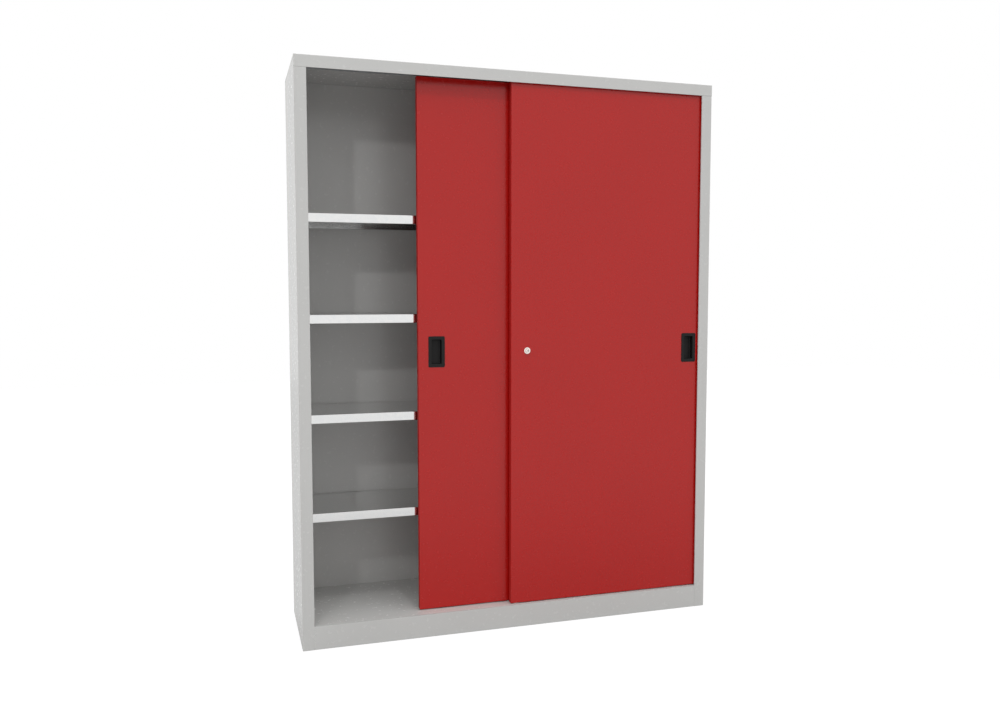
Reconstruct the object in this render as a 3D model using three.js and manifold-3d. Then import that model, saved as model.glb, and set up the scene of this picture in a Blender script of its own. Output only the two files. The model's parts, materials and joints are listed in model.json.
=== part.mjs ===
// A free-standing steel cabinet with two sliding doors and four adjustable shelves.
// Millimetres, +Z up. The origin is the centre of the base on the ground, +X is right and -Y is the front.
import * as THREE from "three";
import { mergeVertices } from "three/addons/utils/BufferGeometryUtils.js";
import Module from "manifold-3d";

const wasm = await Module();
wasm.setup();

// Carcass
const cabinetWidth = 1500;
const cabinetDepth = 400;
const cabinetHeight = 1950;
const sheet = 1;
const seam = 0.3; // gap left in every joint between two pieces
const postWidth = 39.5;
const hemWidth = 12;
const postReturn = 5; // how far back the post's inner edge is folded
const rearFlangeWidth = 20;
const footFlangeWidth = 20;
const sideTopFlangeWidth = 14;
const capFlangeHeight = 39.7;
const capRearFlangeHeight = 30;
const floorHeight = 81; // upper face of the floor panel
const floorFlangeHeight = 25;
const plinthFlangeDepth = 16;

// Shelves, their slotted uprights and clips
const shelfCount = 4;
const firstShelfRise = 359; // from the floor panel to the upper face of the lowest shelf
const slotPitch = 56.5;
const slotsPerShelf = 6;
const shelfHeight = 30;
const shelfSetback = 85;
const shelfRearGap = 3;
const shelfSideGap = 1;
const shelfLip = 12;
const uprightWidth = 20;
const uprightDepth = 8;
const uprightInset = 22; // from the shelf's front or rear edge to the upright
const slotWidth = 5;
const slotHeight = 14;
const clipSheet = 1.5;
const clipWidth = 14;
const clipHeight = 24;
const clipLedge = 14;
const clipDrop = 9; // from the shelf's underside to the middle of the clip's hook
const hookReach = 3;
const hookClearance = 0.5;

// Doors
const doorSetback = 11; // from the front plane to the front door's face
const doorThickness = 22;
const doorPassingGap = 12;
const doorOverlap = 38; // with both doors closed
const doorOpening = 396; // how far the rear door stands slid open
const doorFloorGap = 2.6;
const doorTrackGap = 2.5;
const doorSheet = 1;
const doorLip = 15;
const stiffenerWidth = 60;
const stiffenerFoot = 14;
const stiffenerSheet = 1;
const stiffenerEndGap = 24;

// Upper track, hangers and rollers
const trackHeight = 28;
const trackSheet = 1.5;
const trackSideRoom = 13.5; // from a lane's middle to the outer wall of the track
const trackSlot = 6;
const trackEndGap = 1;
const hangerInset = 70; // from the door's edge to the hanger's middle
const hangerPlate = 3;
const hangerWidth = 36;
const hangerFootWidth = 64;
const hangerFootDepth = 16;
const hangerCap = 7; // from the axle to the top of the hanger
const hangerSlotClearance = 0.5;
const axleRadius = 3;
const axleClearance = 0.3;
const rollerRadius = 10;
const rollerThickness = 7;
const rollerSideGap = 0.5;
const rollerBevel = 0.8;

// Guide on the floor, guide channel in each door, and end buffers
const guideEndRoom = 11; // from the guide to the end of the doors' overlap
const guideBase = 1.9;
const guideBaseMargin = 6;
const guideFin = 5;
const guideFinRise = 11; // above the door's lower edge
const guideClearance = 0.5;
const channelRise = 15;
const channelSheet = 1;
const channelFoot = 5;
const channelEndGap = 2;
const bufferLength = 9.4;
const bufferRadius = 7;
const bufferBaseRadius = 8.5;
const bufferBase = 2;
const bufferRounding = 2;

// Flush pulls
const pullCentreHeight = 988.3;
const pullWidth = 58;
const pullHeight = 107;
const pullEdgeInset = 35.5; // from the door's edge to the pull
const pullRim = 11.5;
const pullProud = 1.8;
const pullCorner = 5;
const pullDepth = 19;
const pullWall = 1.6;
const pullWindowClearance = 0.5;
const pullRimRoll = 0.9;
const snapWidth = 20;
const snapReach = 2;
const snapHeight = 1.5;

// Lock
const lockEdgeInset = 59.3; // from the front door's left edge to the lock's axis
const rosetteRadius = 11.7;
const rosetteProud = 2.6;
const rosetteBevel = 0.6;
const barrelRadius = 9.5;
const barrelClearance = 0.3;
const plungerRadius = 7.5;
const plungerProud = 8;
const plungerBevel = 0.6;
const lockStroke = 7.5;
const lockBackWall = 3.6; // of the housing, behind the plunger's wide part
const boltRadius = 5;
const boltRestReach = 3.5; // how far the bolt stands out of the door's back when the lock is open
const plugRadius = 4.5;
const plugLength = 18;
const plugRecess = 0.3;
const keySlotWidth = 2.6;
const keySlotHeight = 7;
const keySlotDepth = 10;
const nutRadius = 13.5;
const nutThickness = 4;
const nutSides = 6;
const catchSheet = 1.5;
const catchHeight = 44;
const catchGrip = 16; // how much of the catch lies on the door
const catchReach = 7; // beyond the door's edge
const catchForward = 5; // how far the tongue stands forward of the plate

// Mesh fineness
const grid = 0.001; // every corner lies on this grid, so that faces meant to be flush are flush
const overrun = 2;
const roundSides = 24;
const smallRoundSides = 16;
const cornerSteps = 3;

// Worked out from the sizes above
const halfWidth = cabinetWidth / 2;
const halfDepth = cabinetDepth / 2;
const frontPlane = -halfDepth;
const innerHalfWidth = halfWidth - sheet;
const openingHalfWidth = halfWidth - postWidth;
const capUnderside = cabinetHeight - sheet;
const capFlangeEdge = cabinetHeight - capFlangeHeight;
const rearPanelFace = halfDepth - sheet - seam - sheet;
const floorUnderside = floorHeight - sheet;

const shelfPitch = slotPitch * slotsPerShelf;
const shelfFront = frontPlane + shelfSetback;
const shelfBack = rearPanelFace - shelfRearGap;
const uprightFace = innerHalfWidth - seam - uprightDepth;
const shelfHalfWidth = uprightFace - shelfSideGap;
const uprightMiddles = {
  front: shelfFront + uprightInset + uprightWidth / 2,
  rear: shelfBack - uprightInset - uprightWidth / 2,
};

const doorHalfRun = innerHalfWidth - seam - bufferLength - seam;
const doorWidth = doorHalfRun + doorOverlap / 2;
const doorBottom = floorHeight + doorFloorGap;
const trackBottom = capUnderside - seam - trackHeight;
const doorTop = trackBottom - doorTrackGap;
const frontDoor = {
  left: doorHalfRun - doorWidth,
  face: frontPlane + doorSetback,
};
const rearDoor = {
  left: -doorHalfRun + doorOpening,
  face: frontDoor.face + doorThickness + doorPassingGap,
};
const laneMiddles = {
  front: frontDoor.face + doorThickness / 2,
  rear: rearDoor.face + doorThickness / 2,
};
const axleHeight = trackBottom + trackSheet + seam + rollerRadius;
const pullMiddles = {
  front: frontDoor.left + doorWidth - pullEdgeInset - pullWidth / 2,
  rear: rearDoor.left + pullEdgeInset + pullWidth / 2,
};
const lockMiddle = frontDoor.left + lockEdgeInset;
const lockStep = frontDoor.face + doorThickness - lockBackWall;
const tubHalfWidth = pullWidth / 2 - pullRim + pullWall;
const tubHalfHeight = pullHeight / 2 - pullRim + pullWall;

function finish(color, roughness, metalness) {
  return new THREE.MeshStandardMaterial({ color, roughness, metalness });
}

const greyPaint = finish(0xc9cac8, 0.4, 0);
const redPaint = finish(0xa82222, 0.35, 0);
const galvanisedSteel = finish(0xc4c6c8, 0.35, 0.9);
const zincPlate = finish(0xb9bcc0, 0.4, 0.9);
const blackPlastic = finish(0x1c1c1e, 0.5, 0);
const nylon = finish(0xd8d6cc, 0.55, 0);
const nickel = finish(0xdedad2, 0.2, 1);
const rubber = finish(0x202022, 0.8, 0);

const cabinet = new THREE.Group();

function addPiece(name, geometry, material) {
  const piece = new THREE.Mesh(onGrid(geometry), material);
  piece.name = name;
  cabinet.add(piece);
}

// The geometry with only its corners left, each on the grid and held once.
function onGrid(geometry) {
  const bare = geometry.clone();
  bare.deleteAttribute("normal");
  bare.deleteAttribute("uv");
  const corners = bare.attributes.position.array;
  corners.forEach((value, index) => {
    corners[index] = Math.round(value / grid) * grid;
  });
  return mergeVertices(bare);
}

function toSolid(geometry) {
  const merged = onGrid(geometry);
  return new wasm.Manifold(
    new wasm.Mesh({
      numProp: 3,
      vertProperties: new Float32Array(merged.attributes.position.array),
      triVerts: new Uint32Array(merged.index.array),
    }),
  );
}

function toGeometry(solid) {
  const mesh = solid.asOriginal().simplify(grid).getMesh();
  const geometry = new THREE.BufferGeometry();
  geometry.setAttribute("position", new THREE.BufferAttribute(mesh.vertProperties, mesh.numProp));
  geometry.setIndex(new THREE.BufferAttribute(mesh.triVerts, 1));
  return geometry;
}

function join(...geometries) {
  return toGeometry(geometries.map(toSolid).reduce((whole, solid) => whole.add(solid)));
}

function cut(geometry, ...tools) {
  return toGeometry(tools.map(toSolid).reduce((whole, tool) => whole.subtract(tool), toSolid(geometry)));
}

// A box between two limits along each axis.
function block([x0, x1], [y0, y1], [z0, z1]) {
  const box = new THREE.BoxGeometry(x1 - x0, y1 - y0, z1 - z0);
  return box.translate((x0 + x1) / 2, (y0 + y1) / 2, (z0 + z1) / 2);
}

function around(middle, size) {
  return [middle - size / 2, middle + size / 2];
}

// The same limits on the left (side -1) or on the right (side 1) of the middle.
function onSide(side, inner, outer) {
  return side > 0 ? [inner, outer] : [-outer, -inner];
}

function shapeOf(points) {
  return new THREE.Shape(points.map(([u, v]) => new THREE.Vector2(u, v)));
}

// A section drawn in Y and Z, run along X.
function alongX(points, [x0, x1]) {
  const run = new THREE.ExtrudeGeometry(shapeOf(points), { depth: x1 - x0, bevelEnabled: false });
  return run.rotateX(Math.PI / 2).rotateZ(Math.PI / 2).translate(x0, 0, 0);
}

// An outline drawn in X and Y, raised along Z.
function alongZ(points, [z0, z1]) {
  const run = new THREE.ExtrudeGeometry(shapeOf(points), { depth: z1 - z0, bevelEnabled: false });
  return run.translate(0, 0, z0);
}

// A shape drawn in X and Z as seen from the front, run back along Y.
function alongY(shape, [y0, y1]) {
  const settings = { depth: y1 - y0, bevelEnabled: false, curveSegments: cornerSteps };
  const run = new THREE.ExtrudeGeometry(shape, settings);
  return run.rotateX(Math.PI / 2).translate(0, y1, 0);
}

// A profile of [radius, distance along the axis] pairs, turned about an axis parallel to Y.
function turned(profile, x, y, z, sides) {
  const points = profile.map(([radius, along]) => new THREE.Vector2(radius, along));
  return new THREE.LatheGeometry(points, sides).translate(x, y, z);
}

function pin(radius, x, [y0, y1], z, sides) {
  return turned([[0, y0], [radius, y0], [radius, y1], [0, y1]], x, 0, z, sides);
}

function roundedRectangle(x, z, width, height, corner) {
  const [left, right] = around(x, width);
  const [low, high] = around(z, height);
  const shape = new THREE.Shape();
  shape.moveTo(left + corner, low);
  shape.lineTo(right - corner, low);
  shape.absarc(right - corner, low + corner, corner, -Math.PI / 2, 0);
  shape.lineTo(right, high - corner);
  shape.absarc(right - corner, high - corner, corner, 0, Math.PI / 2);
  shape.lineTo(left + corner, high);
  shape.absarc(left + corner, high - corner, corner, Math.PI / 2, Math.PI);
  shape.lineTo(left, low + corner);
  shape.absarc(left + corner, low + corner, corner, Math.PI, (3 * Math.PI) / 2);
  return shape;
}

// Side panel: outer sheet, front post with its inner edge folded back and out again, rear flange, foot flange
// and top flange.
function sidePanel(side) {
  const postTop = capFlangeEdge - seam;
  const rearFlangeTop = cabinetHeight - capRearFlangeHeight - seam;
  const top = capUnderside - seam;
  const frontOfCap = frontPlane + sheet + seam;
  const backOfCap = halfDepth - sheet - seam;
  const returnBack = frontPlane + postReturn;
  const skin = [
    [frontPlane, 0],
    [halfDepth, 0],
    [halfDepth, rearFlangeTop],
    [backOfCap, rearFlangeTop],
    [backOfCap, top],
    [frontOfCap, top],
    [frontOfCap, postTop],
    [frontPlane, postTop],
  ];
  return join(
    alongX(skin, onSide(side, innerHalfWidth, halfWidth)),
    block(onSide(side, openingHalfWidth, halfWidth), [frontPlane, frontPlane + sheet], [0, postTop]),
    block(onSide(side, openingHalfWidth, openingHalfWidth + sheet), [frontPlane, returnBack], [0, postTop]),
    block(
      onSide(side, openingHalfWidth, openingHalfWidth + hemWidth),
      [returnBack - sheet, returnBack],
      [0, postTop],
    ),
    block(
      onSide(side, halfWidth - rearFlangeWidth, halfWidth),
      [halfDepth - sheet, halfDepth],
      [0, rearFlangeTop],
    ),
    block(onSide(side, halfWidth - footFlangeWidth, halfWidth), [frontPlane, halfDepth], [0, sheet]),
    block(
      onSide(side, innerHalfWidth - sideTopFlangeWidth, halfWidth),
      [frontOfCap, rearPanelFace - seam],
      [top - sheet, top],
    ),
  );
}

// Top cap: sheet over the side panels, front flange over both posts with a hemmed lower edge, rear flange.
function topPanel() {
  const across = [-halfWidth, halfWidth];
  return join(
    block(across, [frontPlane, halfDepth], [capUnderside, cabinetHeight]),
    block(across, [frontPlane, frontPlane + sheet], [capFlangeEdge, cabinetHeight]),
    block(
      [-openingHalfWidth, openingHalfWidth],
      [frontPlane, frontPlane + 2 * sheet],
      [capFlangeEdge, capFlangeEdge + hemWidth],
    ),
    block(across, [halfDepth - sheet, halfDepth], [cabinetHeight - capRearFlangeHeight, cabinetHeight]),
  );
}

// Floor: notched round the posts, with flanges turned down at the sides and at the back.
function floorPanel() {
  const edge = innerHalfWidth - seam;
  const notch = openingHalfWidth - seam;
  const behindPost = frontPlane + postReturn + seam;
  const back = rearPanelFace - seam;
  const outline = [
    [-notch, frontPlane],
    [notch, frontPlane],
    [notch, behindPost],
    [edge, behindPost],
    [edge, back],
    [-edge, back],
    [-edge, behindPost],
    [-notch, behindPost],
  ];
  const flangeHeights = [floorHeight - floorFlangeHeight, floorHeight];
  return join(
    alongZ(outline, [floorUnderside, floorHeight]),
    block([-edge, -edge + sheet], [behindPost, back], flangeHeights),
    block([edge - sheet, edge], [behindPost, back], flangeHeights),
    block([-edge, edge], [back - sheet, back], flangeHeights),
  );
}

function rearPanel() {
  const edge = innerHalfWidth - seam;
  return block([-edge, edge], [rearPanelFace, rearPanelFace + sheet], [sheet + seam, capUnderside - seam]);
}

// Front plinth: face, foot flange on the ground and top flange under the floor.
function frontPlinth() {
  const across = [-openingHalfWidth + seam, openingHalfWidth - seam];
  const top = floorUnderside - seam;
  return join(
    block(across, [frontPlane, frontPlane + sheet], [0, top]),
    block(across, [frontPlane, frontPlane + footFlangeWidth], [0, sheet]),
    block(across, [frontPlane, frontPlane + plinthFlangeDepth], [top - sheet, top]),
  );
}

// Rear plinth: stands on the side panels' foot flanges and carries the floor at the back.
function rearPlinth() {
  const edge = innerHalfWidth - seam - sheet - seam;
  const back = rearPanelFace - seam - sheet - seam;
  const top = floorUnderside - seam;
  return join(
    block([-edge, edge], [back - sheet, back], [sheet + seam, top]),
    block([-edge, edge], [back - plinthFlangeDepth, back], [top - sheet, top]),
  );
}

// Shelf: a pan turned down on all four sides, with lips turned in under it.
function shelf(top) {
  const low = top - shelfHeight;
  const across = [-shelfHalfWidth, shelfHalfWidth];
  const hollow = block(
    [-shelfHalfWidth + sheet, shelfHalfWidth - sheet],
    [shelfFront + sheet, shelfBack - sheet],
    [low + sheet, top - sheet],
  );
  const mouth = block(
    [-shelfHalfWidth + shelfLip, shelfHalfWidth - shelfLip],
    [shelfFront + shelfLip, shelfBack - shelfLip],
    [low - overrun, low + sheet + overrun],
  );
  return cut(block(across, [shelfFront, shelfBack], [low, top]), hollow, mouth);
}

function shelfTop(index) {
  return floorHeight + firstShelfRise + index * shelfPitch;
}

function hookHeight(index) {
  return shelfTop(index) - shelfHeight - seam - clipDrop;
}

// Slotted upright: a channel open towards the side panel, with a row of slots in its face.
function upright(side, middle) {
  const low = floorHeight + seam;
  const high = capUnderside - seam - sheet - seam;
  const outside = uprightFace + uprightDepth;
  const channel = cut(
    block(onSide(side, uprightFace, outside), around(middle, uprightWidth), [low, high]),
    block(
      onSide(side, uprightFace + sheet, outside + overrun),
      around(middle, uprightWidth - 2 * sheet),
      [low - overrun, high + overrun],
    ),
  );
  const slots = [];
  const below = Math.floor((hookHeight(0) - low - slotHeight) / slotPitch);
  for (let z = hookHeight(0) - below * slotPitch; z + slotHeight < high; z += slotPitch)
    slots.push(
      block(
        onSide(side, uprightFace - overrun, uprightFace + sheet + overrun),
        around(middle, slotWidth),
        around(z, slotHeight),
      ),
    );
  return cut(channel, ...slots);
}

// Clip: a plate against the upright, a ledge under the shelf and a hook in the slot.
function shelfClip(side, middle, index) {
  const ledgeTop = shelfTop(index) - shelfHeight - seam;
  const face = uprightFace - seam;
  return join(
    block(onSide(side, face - clipSheet, face), around(middle, clipWidth), [ledgeTop - clipHeight, ledgeTop]),
    block(onSide(side, face - clipLedge, face), around(middle, clipWidth), [ledgeTop - clipSheet, ledgeTop]),
    block(
      onSide(side, face - clipSheet, uprightFace + hookReach),
      around(middle, slotWidth - 2 * hookClearance),
      around(hookHeight(index), slotHeight - 2 * hookClearance),
    ),
  );
}

// Upper track: two lanes side by side, each a channel with a slot along its underside.
function upperTrack() {
  const top = trackBottom + trackHeight;
  const ceiling = top - trackSheet;
  const ledge = trackBottom + trackSheet;
  const front = laneMiddles.front - trackSideRoom;
  const back = laneMiddles.rear + trackSideRoom;
  const [wallFront, wallBack] = around((laneMiddles.front + laneMiddles.rear) / 2, trackSheet);
  const [slot1, slot2] = around(laneMiddles.front, trackSlot);
  const [slot3, slot4] = around(laneMiddles.rear, trackSlot);
  const section = [
    [front, trackBottom],
    [slot1, trackBottom],
    [slot1, ledge],
    [front + trackSheet, ledge],
    [front + trackSheet, ceiling],
    [wallFront, ceiling],
    [wallFront, ledge],
    [slot2, ledge],
    [slot2, trackBottom],
    [slot3, trackBottom],
    [slot3, ledge],
    [wallBack, ledge],
    [wallBack, ceiling],
    [back - trackSheet, ceiling],
    [back - trackSheet, ledge],
    [slot4, ledge],
    [slot4, trackBottom],
    [back, trackBottom],
    [back, top],
    [front, top],
  ];
  const end = innerHalfWidth - sideTopFlangeWidth - trackEndGap;
  return alongX(section, [-end, end]);
}

// Floor guide: a low base across both lanes, with a fin that stands in each door's guide channel.
function floorGuide() {
  const across = around(0, doorOverlap - 2 * guideEndRoom);
  const low = floorHeight + seam;
  const back = laneMiddles.rear + guideFin / 2 + guideBaseMargin;
  const front = laneMiddles.front - guideFin / 2 - guideBaseMargin;
  const fins = [laneMiddles.front, laneMiddles.rear].map((middle) =>
    block(across, around(middle, guideFin), [low, doorBottom + guideFinRise]),
  );
  return join(block(across, [front, back], [low, low + guideBase]), ...fins);
}

// End buffer: a rubber button on the side panel, in line with a door's edge.
function buffer(side, middle) {
  const shank = bufferLength - bufferRounding;
  const profile = [
    [0, 0],
    [bufferBaseRadius, 0],
    [bufferBaseRadius, bufferBase],
    [bufferRadius, bufferBase],
    [bufferRadius, shank],
    [bufferRadius - bufferRounding, bufferLength],
    [0, bufferLength],
  ];
  return turned(profile, 0, 0, 0, smallRoundSides)
    .rotateZ((side * Math.PI) / 2)
    .translate(side * (innerHalfWidth - seam), middle, pullCentreHeight);
}

// Door pan: face, four edges, lips turned in at the back, and the openings for what it carries.
function doorPanel(door, lane, pullMiddle, extraCuts) {
  const right = door.left + doorWidth;
  const back = door.face + doorThickness;
  const hollow = block(
    [door.left + doorSheet, right - doorSheet],
    [door.face + doorSheet, back - doorSheet],
    [doorBottom + doorSheet, doorTop - doorSheet],
  );
  const mouth = block(
    [door.left + doorLip, right - doorLip],
    [back - doorSheet - overrun, back + overrun],
    [doorBottom + doorLip, doorTop - doorLip],
  );
  const window = block(
    around(pullMiddle, 2 * (tubHalfWidth + pullWindowClearance)),
    [door.face - overrun, door.face + doorSheet + overrun],
    around(pullCentreHeight, 2 * (tubHalfHeight + pullWindowClearance)),
  );
  const groove = block(
    [door.left + channelEndGap, right - channelEndGap],
    around(lane, guideFin + 2 * guideClearance),
    [doorBottom - overrun, doorBottom + doorSheet + overrun],
  );
  const hangerSlots = hangerMiddles(door).map((middle) =>
    block(
      around(middle, hangerWidth + 2 * hangerSlotClearance),
      around(lane, hangerPlate + 2 * hangerSlotClearance),
      [doorTop - doorSheet - overrun, doorTop + overrun],
    ),
  );
  const pan = block([door.left, right], [door.face, back], [doorBottom, doorTop]);
  return cut(pan, hollow, mouth, window, groove, ...hangerSlots, ...extraCuts);
}

function hangerMiddles(door) {
  return [door.left + hangerInset, door.left + doorWidth - hangerInset];
}

// Stiffener: an upright hat section behind the middle of the door's face.
function stiffener(door) {
  const middle = door.left + doorWidth / 2;
  const front = door.face + doorSheet + seam;
  const back = door.face + doorThickness - doorSheet;
  const foot = front + stiffenerSheet;
  const crown = back - stiffenerSheet;
  const outer = stiffenerWidth / 2;
  const wall = outer - stiffenerFoot;
  const innerWall = wall - stiffenerSheet;
  const outline = [
    [middle - outer, front],
    [middle - innerWall, front],
    [middle - innerWall, crown],
    [middle + innerWall, crown],
    [middle + innerWall, front],
    [middle + outer, front],
    [middle + outer, foot],
    [middle + wall, foot],
    [middle + wall, back],
    [middle - wall, back],
    [middle - wall, foot],
    [middle - outer, foot],
  ];
  return alongZ(outline, [doorBottom + stiffenerEndGap, doorTop - stiffenerEndGap]);
}

// Guide channel: an upside-down hat section that stands over the groove in the door's lower edge.
function guideChannel(door, lane) {
  const low = doorBottom + doorSheet + seam;
  const high = doorBottom + channelRise;
  const inner = guideFin / 2 + guideClearance;
  const outer = inner + channelSheet;
  const foot = outer + channelFoot;
  const section = [
    [lane - foot, low],
    [lane - inner, low],
    [lane - inner, high - channelSheet],
    [lane + inner, high - channelSheet],
    [lane + inner, low],
    [lane + foot, low],
    [lane + foot, low + channelSheet],
    [lane + outer, low + channelSheet],
    [lane + outer, high],
    [lane - outer, high],
    [lane - outer, low + channelSheet],
    [lane - foot, low + channelSheet],
  ];
  return alongX(section, [door.left + channelEndGap, door.left + doorWidth - channelEndGap]);
}

// Hanger: a foot under the door's upper edge and a plate up through it, bored for the axle.
function hanger(middle, lane) {
  const footTop = doorTop - doorSheet - seam;
  const footBottom = footTop - hangerPlate;
  const plate = join(
    block(around(middle, hangerFootWidth), around(lane, hangerFootDepth), [footBottom, footTop]),
    block(around(middle, hangerWidth), around(lane, hangerPlate), [footBottom, axleHeight + hangerCap]),
  );
  const depth = around(lane, hangerPlate + 2 * overrun);
  return cut(plate, pin(axleRadius + axleClearance, middle, depth, axleHeight, smallRoundSides));
}

// Roller: two wheels on one axle, one on each side of the hanger's plate.
function roller(middle, lane) {
  const inner = hangerPlate / 2 + rollerSideGap;
  const outer = inner + rollerThickness;
  const rim = rollerRadius - rollerBevel;
  const profile = [
    [0, -outer],
    [rim, -outer],
    [rollerRadius, -outer + rollerBevel],
    [rollerRadius, -inner],
    [axleRadius, -inner],
    [axleRadius, inner],
    [rollerRadius, inner],
    [rollerRadius, outer - rollerBevel],
    [rim, outer],
    [0, outer],
  ];
  return turned(profile, middle, lane, axleHeight, roundSides);
}

// Flush pull: a rim on the door's face round an open tub, with a snap above and below behind the face.
function pull(door, middle) {
  const rimBack = door.face - seam;
  const rimFront = door.face - pullProud;
  const rollBack = rimFront + pullRimRoll;
  const tubBack = door.face + pullDepth;
  const corner = pullCorner - pullWall;
  const outline = (grow, radius) =>
    roundedRectangle(middle, pullCentreHeight, pullWidth + 2 * grow, pullHeight + 2 * grow, radius);
  const tub = roundedRectangle(middle, pullCentreHeight, 2 * tubHalfWidth, 2 * tubHalfHeight, pullCorner);
  const recess = roundedRectangle(
    middle,
    pullCentreHeight,
    2 * (tubHalfWidth - pullWall),
    2 * (tubHalfHeight - pullWall),
    corner,
  );
  const snapFront = door.face + doorSheet + seam;
  const snap = (direction) => {
    const edge = pullCentreHeight + direction * tubHalfHeight;
    const limits = [edge - direction * pullWall, edge + direction * snapHeight].sort((a, b) => a - b);
    return block(around(middle, snapWidth), [snapFront, snapFront + snapReach], limits);
  };
  const body = join(
    alongY(outline(-pullRimRoll, pullCorner), [rimFront, rimBack]),
    alongY(outline(0, pullCorner), [rollBack, rimBack]),
    alongY(tub, [rimFront, tubBack]),
    snap(1),
    snap(-1),
  );
  return cut(body, alongY(recess, [rimFront - overrun, tubBack - pullWall]));
}

// Lock housing: a rosette on the door's face and a barrel through it, bored for the plunger and its bolt.
function lockHousing() {
  const face = frontDoor.face - seam;
  const front = frontDoor.face - rosetteProud;
  const back = frontDoor.face + doorThickness;
  const bore = plungerRadius + barrelClearance;
  const boltBore = boltRadius + barrelClearance;
  const profile = [
    [bore, front],
    [rosetteRadius - rosetteBevel, front],
    [rosetteRadius, front + rosetteBevel],
    [rosetteRadius, face],
    [barrelRadius, face],
    [barrelRadius, back],
    [boltBore, back],
    [boltBore, lockStep],
    [bore, lockStep],
    [bore, front],
  ];
  return turned(profile, lockMiddle, 0, pullCentreHeight, roundSides);
}

// Lock nut: screwed on the barrel behind the door's face.
function lockNut() {
  const front = frontDoor.face + doorSheet + seam;
  const back = front + nutThickness;
  const bore = barrelRadius + barrelClearance;
  return cut(
    pin(nutRadius, lockMiddle, [front, back], pullCentreHeight, nutSides),
    pin(bore, lockMiddle, [front - overrun, back + overrun], pullCentreHeight, roundSides),
  );
}

// Lock plunger: pushed in by hand, with a bolt at the back and a bore for the key plug.
function lockPlunger() {
  const front = frontDoor.face - rosetteProud - plungerProud;
  const tip = frontDoor.face + doorThickness + boltRestReach;
  const shoulder = lockStep - lockStroke - barrelClearance;
  const bore = plugRadius + barrelClearance;
  const boreEnd = front + plugRecess + plugLength + barrelClearance;
  const profile = [
    [bore, front],
    [plungerRadius - plungerBevel, front],
    [plungerRadius, front + plungerBevel],
    [plungerRadius, shoulder],
    [boltRadius, shoulder],
    [boltRadius, tip - plungerBevel],
    [boltRadius - plungerBevel, tip],
    [0, tip],
    [0, boreEnd],
    [bore, boreEnd],
    [bore, front],
  ];
  return turned(profile, lockMiddle, 0, pullCentreHeight, roundSides);
}

// Lock plug: turned by the key in its upright slot.
function lockPlug() {
  const front = frontDoor.face - rosetteProud - plungerProud + plugRecess;
  return cut(
    pin(plugRadius, lockMiddle, [front, front + plugLength], pullCentreHeight, smallRoundSides),
    block(
      around(lockMiddle, keySlotWidth),
      [front - overrun, front + keySlotDepth],
      around(pullCentreHeight, keySlotHeight),
    ),
  );
}

// Lock catch: an angle on the rear door's face, whose tongue the pushed-in bolt stands in front of.
function lockCatch() {
  const edge = rearDoor.left + doorWidth;
  const plateBack = rearDoor.face - seam;
  const plateFront = plateBack - catchSheet;
  const high = around(pullCentreHeight, catchHeight);
  return join(
    block([edge - catchGrip, edge + catchReach], [plateFront, plateBack], high),
    block([edge + catchReach - catchSheet, edge + catchReach], [plateFront - catchForward, plateBack], high),
  );
}

addPiece("left_side_panel", sidePanel(-1), greyPaint);
addPiece("right_side_panel", sidePanel(1), greyPaint);
addPiece("top_panel", topPanel(), greyPaint);
addPiece("floor_panel", floorPanel(), greyPaint);
addPiece("rear_panel", rearPanel(), greyPaint);
addPiece("front_plinth", frontPlinth(), greyPaint);
addPiece("rear_plinth", rearPlinth(), greyPaint);
addPiece("upper_track", upperTrack(), zincPlate);
addPiece("floor_guide", floorGuide(), nylon);

const sides = { left: -1, right: 1 };

for (let index = 0; index < shelfCount; index += 1)
  addPiece(`shelf_${index + 1}`, shelf(shelfTop(index)), galvanisedSteel);

for (const [sideName, side] of Object.entries(sides))
  for (const [endName, middle] of Object.entries(uprightMiddles)) {
    addPiece(`${sideName}_${endName}_upright`, upright(side, middle), galvanisedSteel);
    for (let index = 0; index < shelfCount; index += 1)
      addPiece(`shelf_${index + 1}_${sideName}_${endName}_clip`, shelfClip(side, middle, index), zincPlate);
  }

for (const [sideName, side] of Object.entries(sides))
  for (const [laneName, lane] of Object.entries(laneMiddles))
    addPiece(`${sideName}_${laneName}_buffer`, buffer(side, lane), rubber);

const lockHole = pin(
  barrelRadius + barrelClearance,
  lockMiddle,
  [frontDoor.face - overrun, frontDoor.face + doorSheet + overrun],
  pullCentreHeight,
  roundSides,
);
const doors = [
  { name: "front", door: frontDoor, cuts: [lockHole] },
  { name: "rear", door: rearDoor, cuts: [] },
];
for (const { name, door, cuts } of doors) {
  const lane = laneMiddles[name];
  const pullMiddle = pullMiddles[name];
  addPiece(`${name}_door_panel`, doorPanel(door, lane, pullMiddle, cuts), redPaint);
  addPiece(`${name}_door_stiffener`, stiffener(door), galvanisedSteel);
  addPiece(`${name}_door_guide_channel`, guideChannel(door, lane), galvanisedSteel);
  addPiece(`${name}_door_pull`, pull(door, pullMiddle), blackPlastic);
  hangerMiddles(door).forEach((middle, index) => {
    const end = Object.keys(sides)[index];
    addPiece(`${name}_door_${end}_hanger`, hanger(middle, lane), zincPlate);
    addPiece(`${name}_door_${end}_roller`, roller(middle, lane), nylon);
  });
}

addPiece("lock_housing", lockHousing(), nickel);
addPiece("lock_nut", lockNut(), zincPlate);
addPiece("lock_plunger", lockPlunger(), nickel);
addPiece("lock_plug", lockPlug(), nickel);
addPiece("lock_catch", lockCatch(), zincPlate);

export default cabinet;
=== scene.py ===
"""Looks of a tall steel cabinet with two red sliding doors and four galvanised shelves.

Every new piece is folded sheet, a turned part or a moulding. Its surface is worked out with numpy, in metres
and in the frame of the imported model, and it carries a finish that is named for the real process.
"""

import json
import logging
import math
from abc import ABC, abstractmethod
from collections.abc import Sequence
from dataclasses import dataclass, field
from enum import Enum
from functools import cached_property

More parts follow.
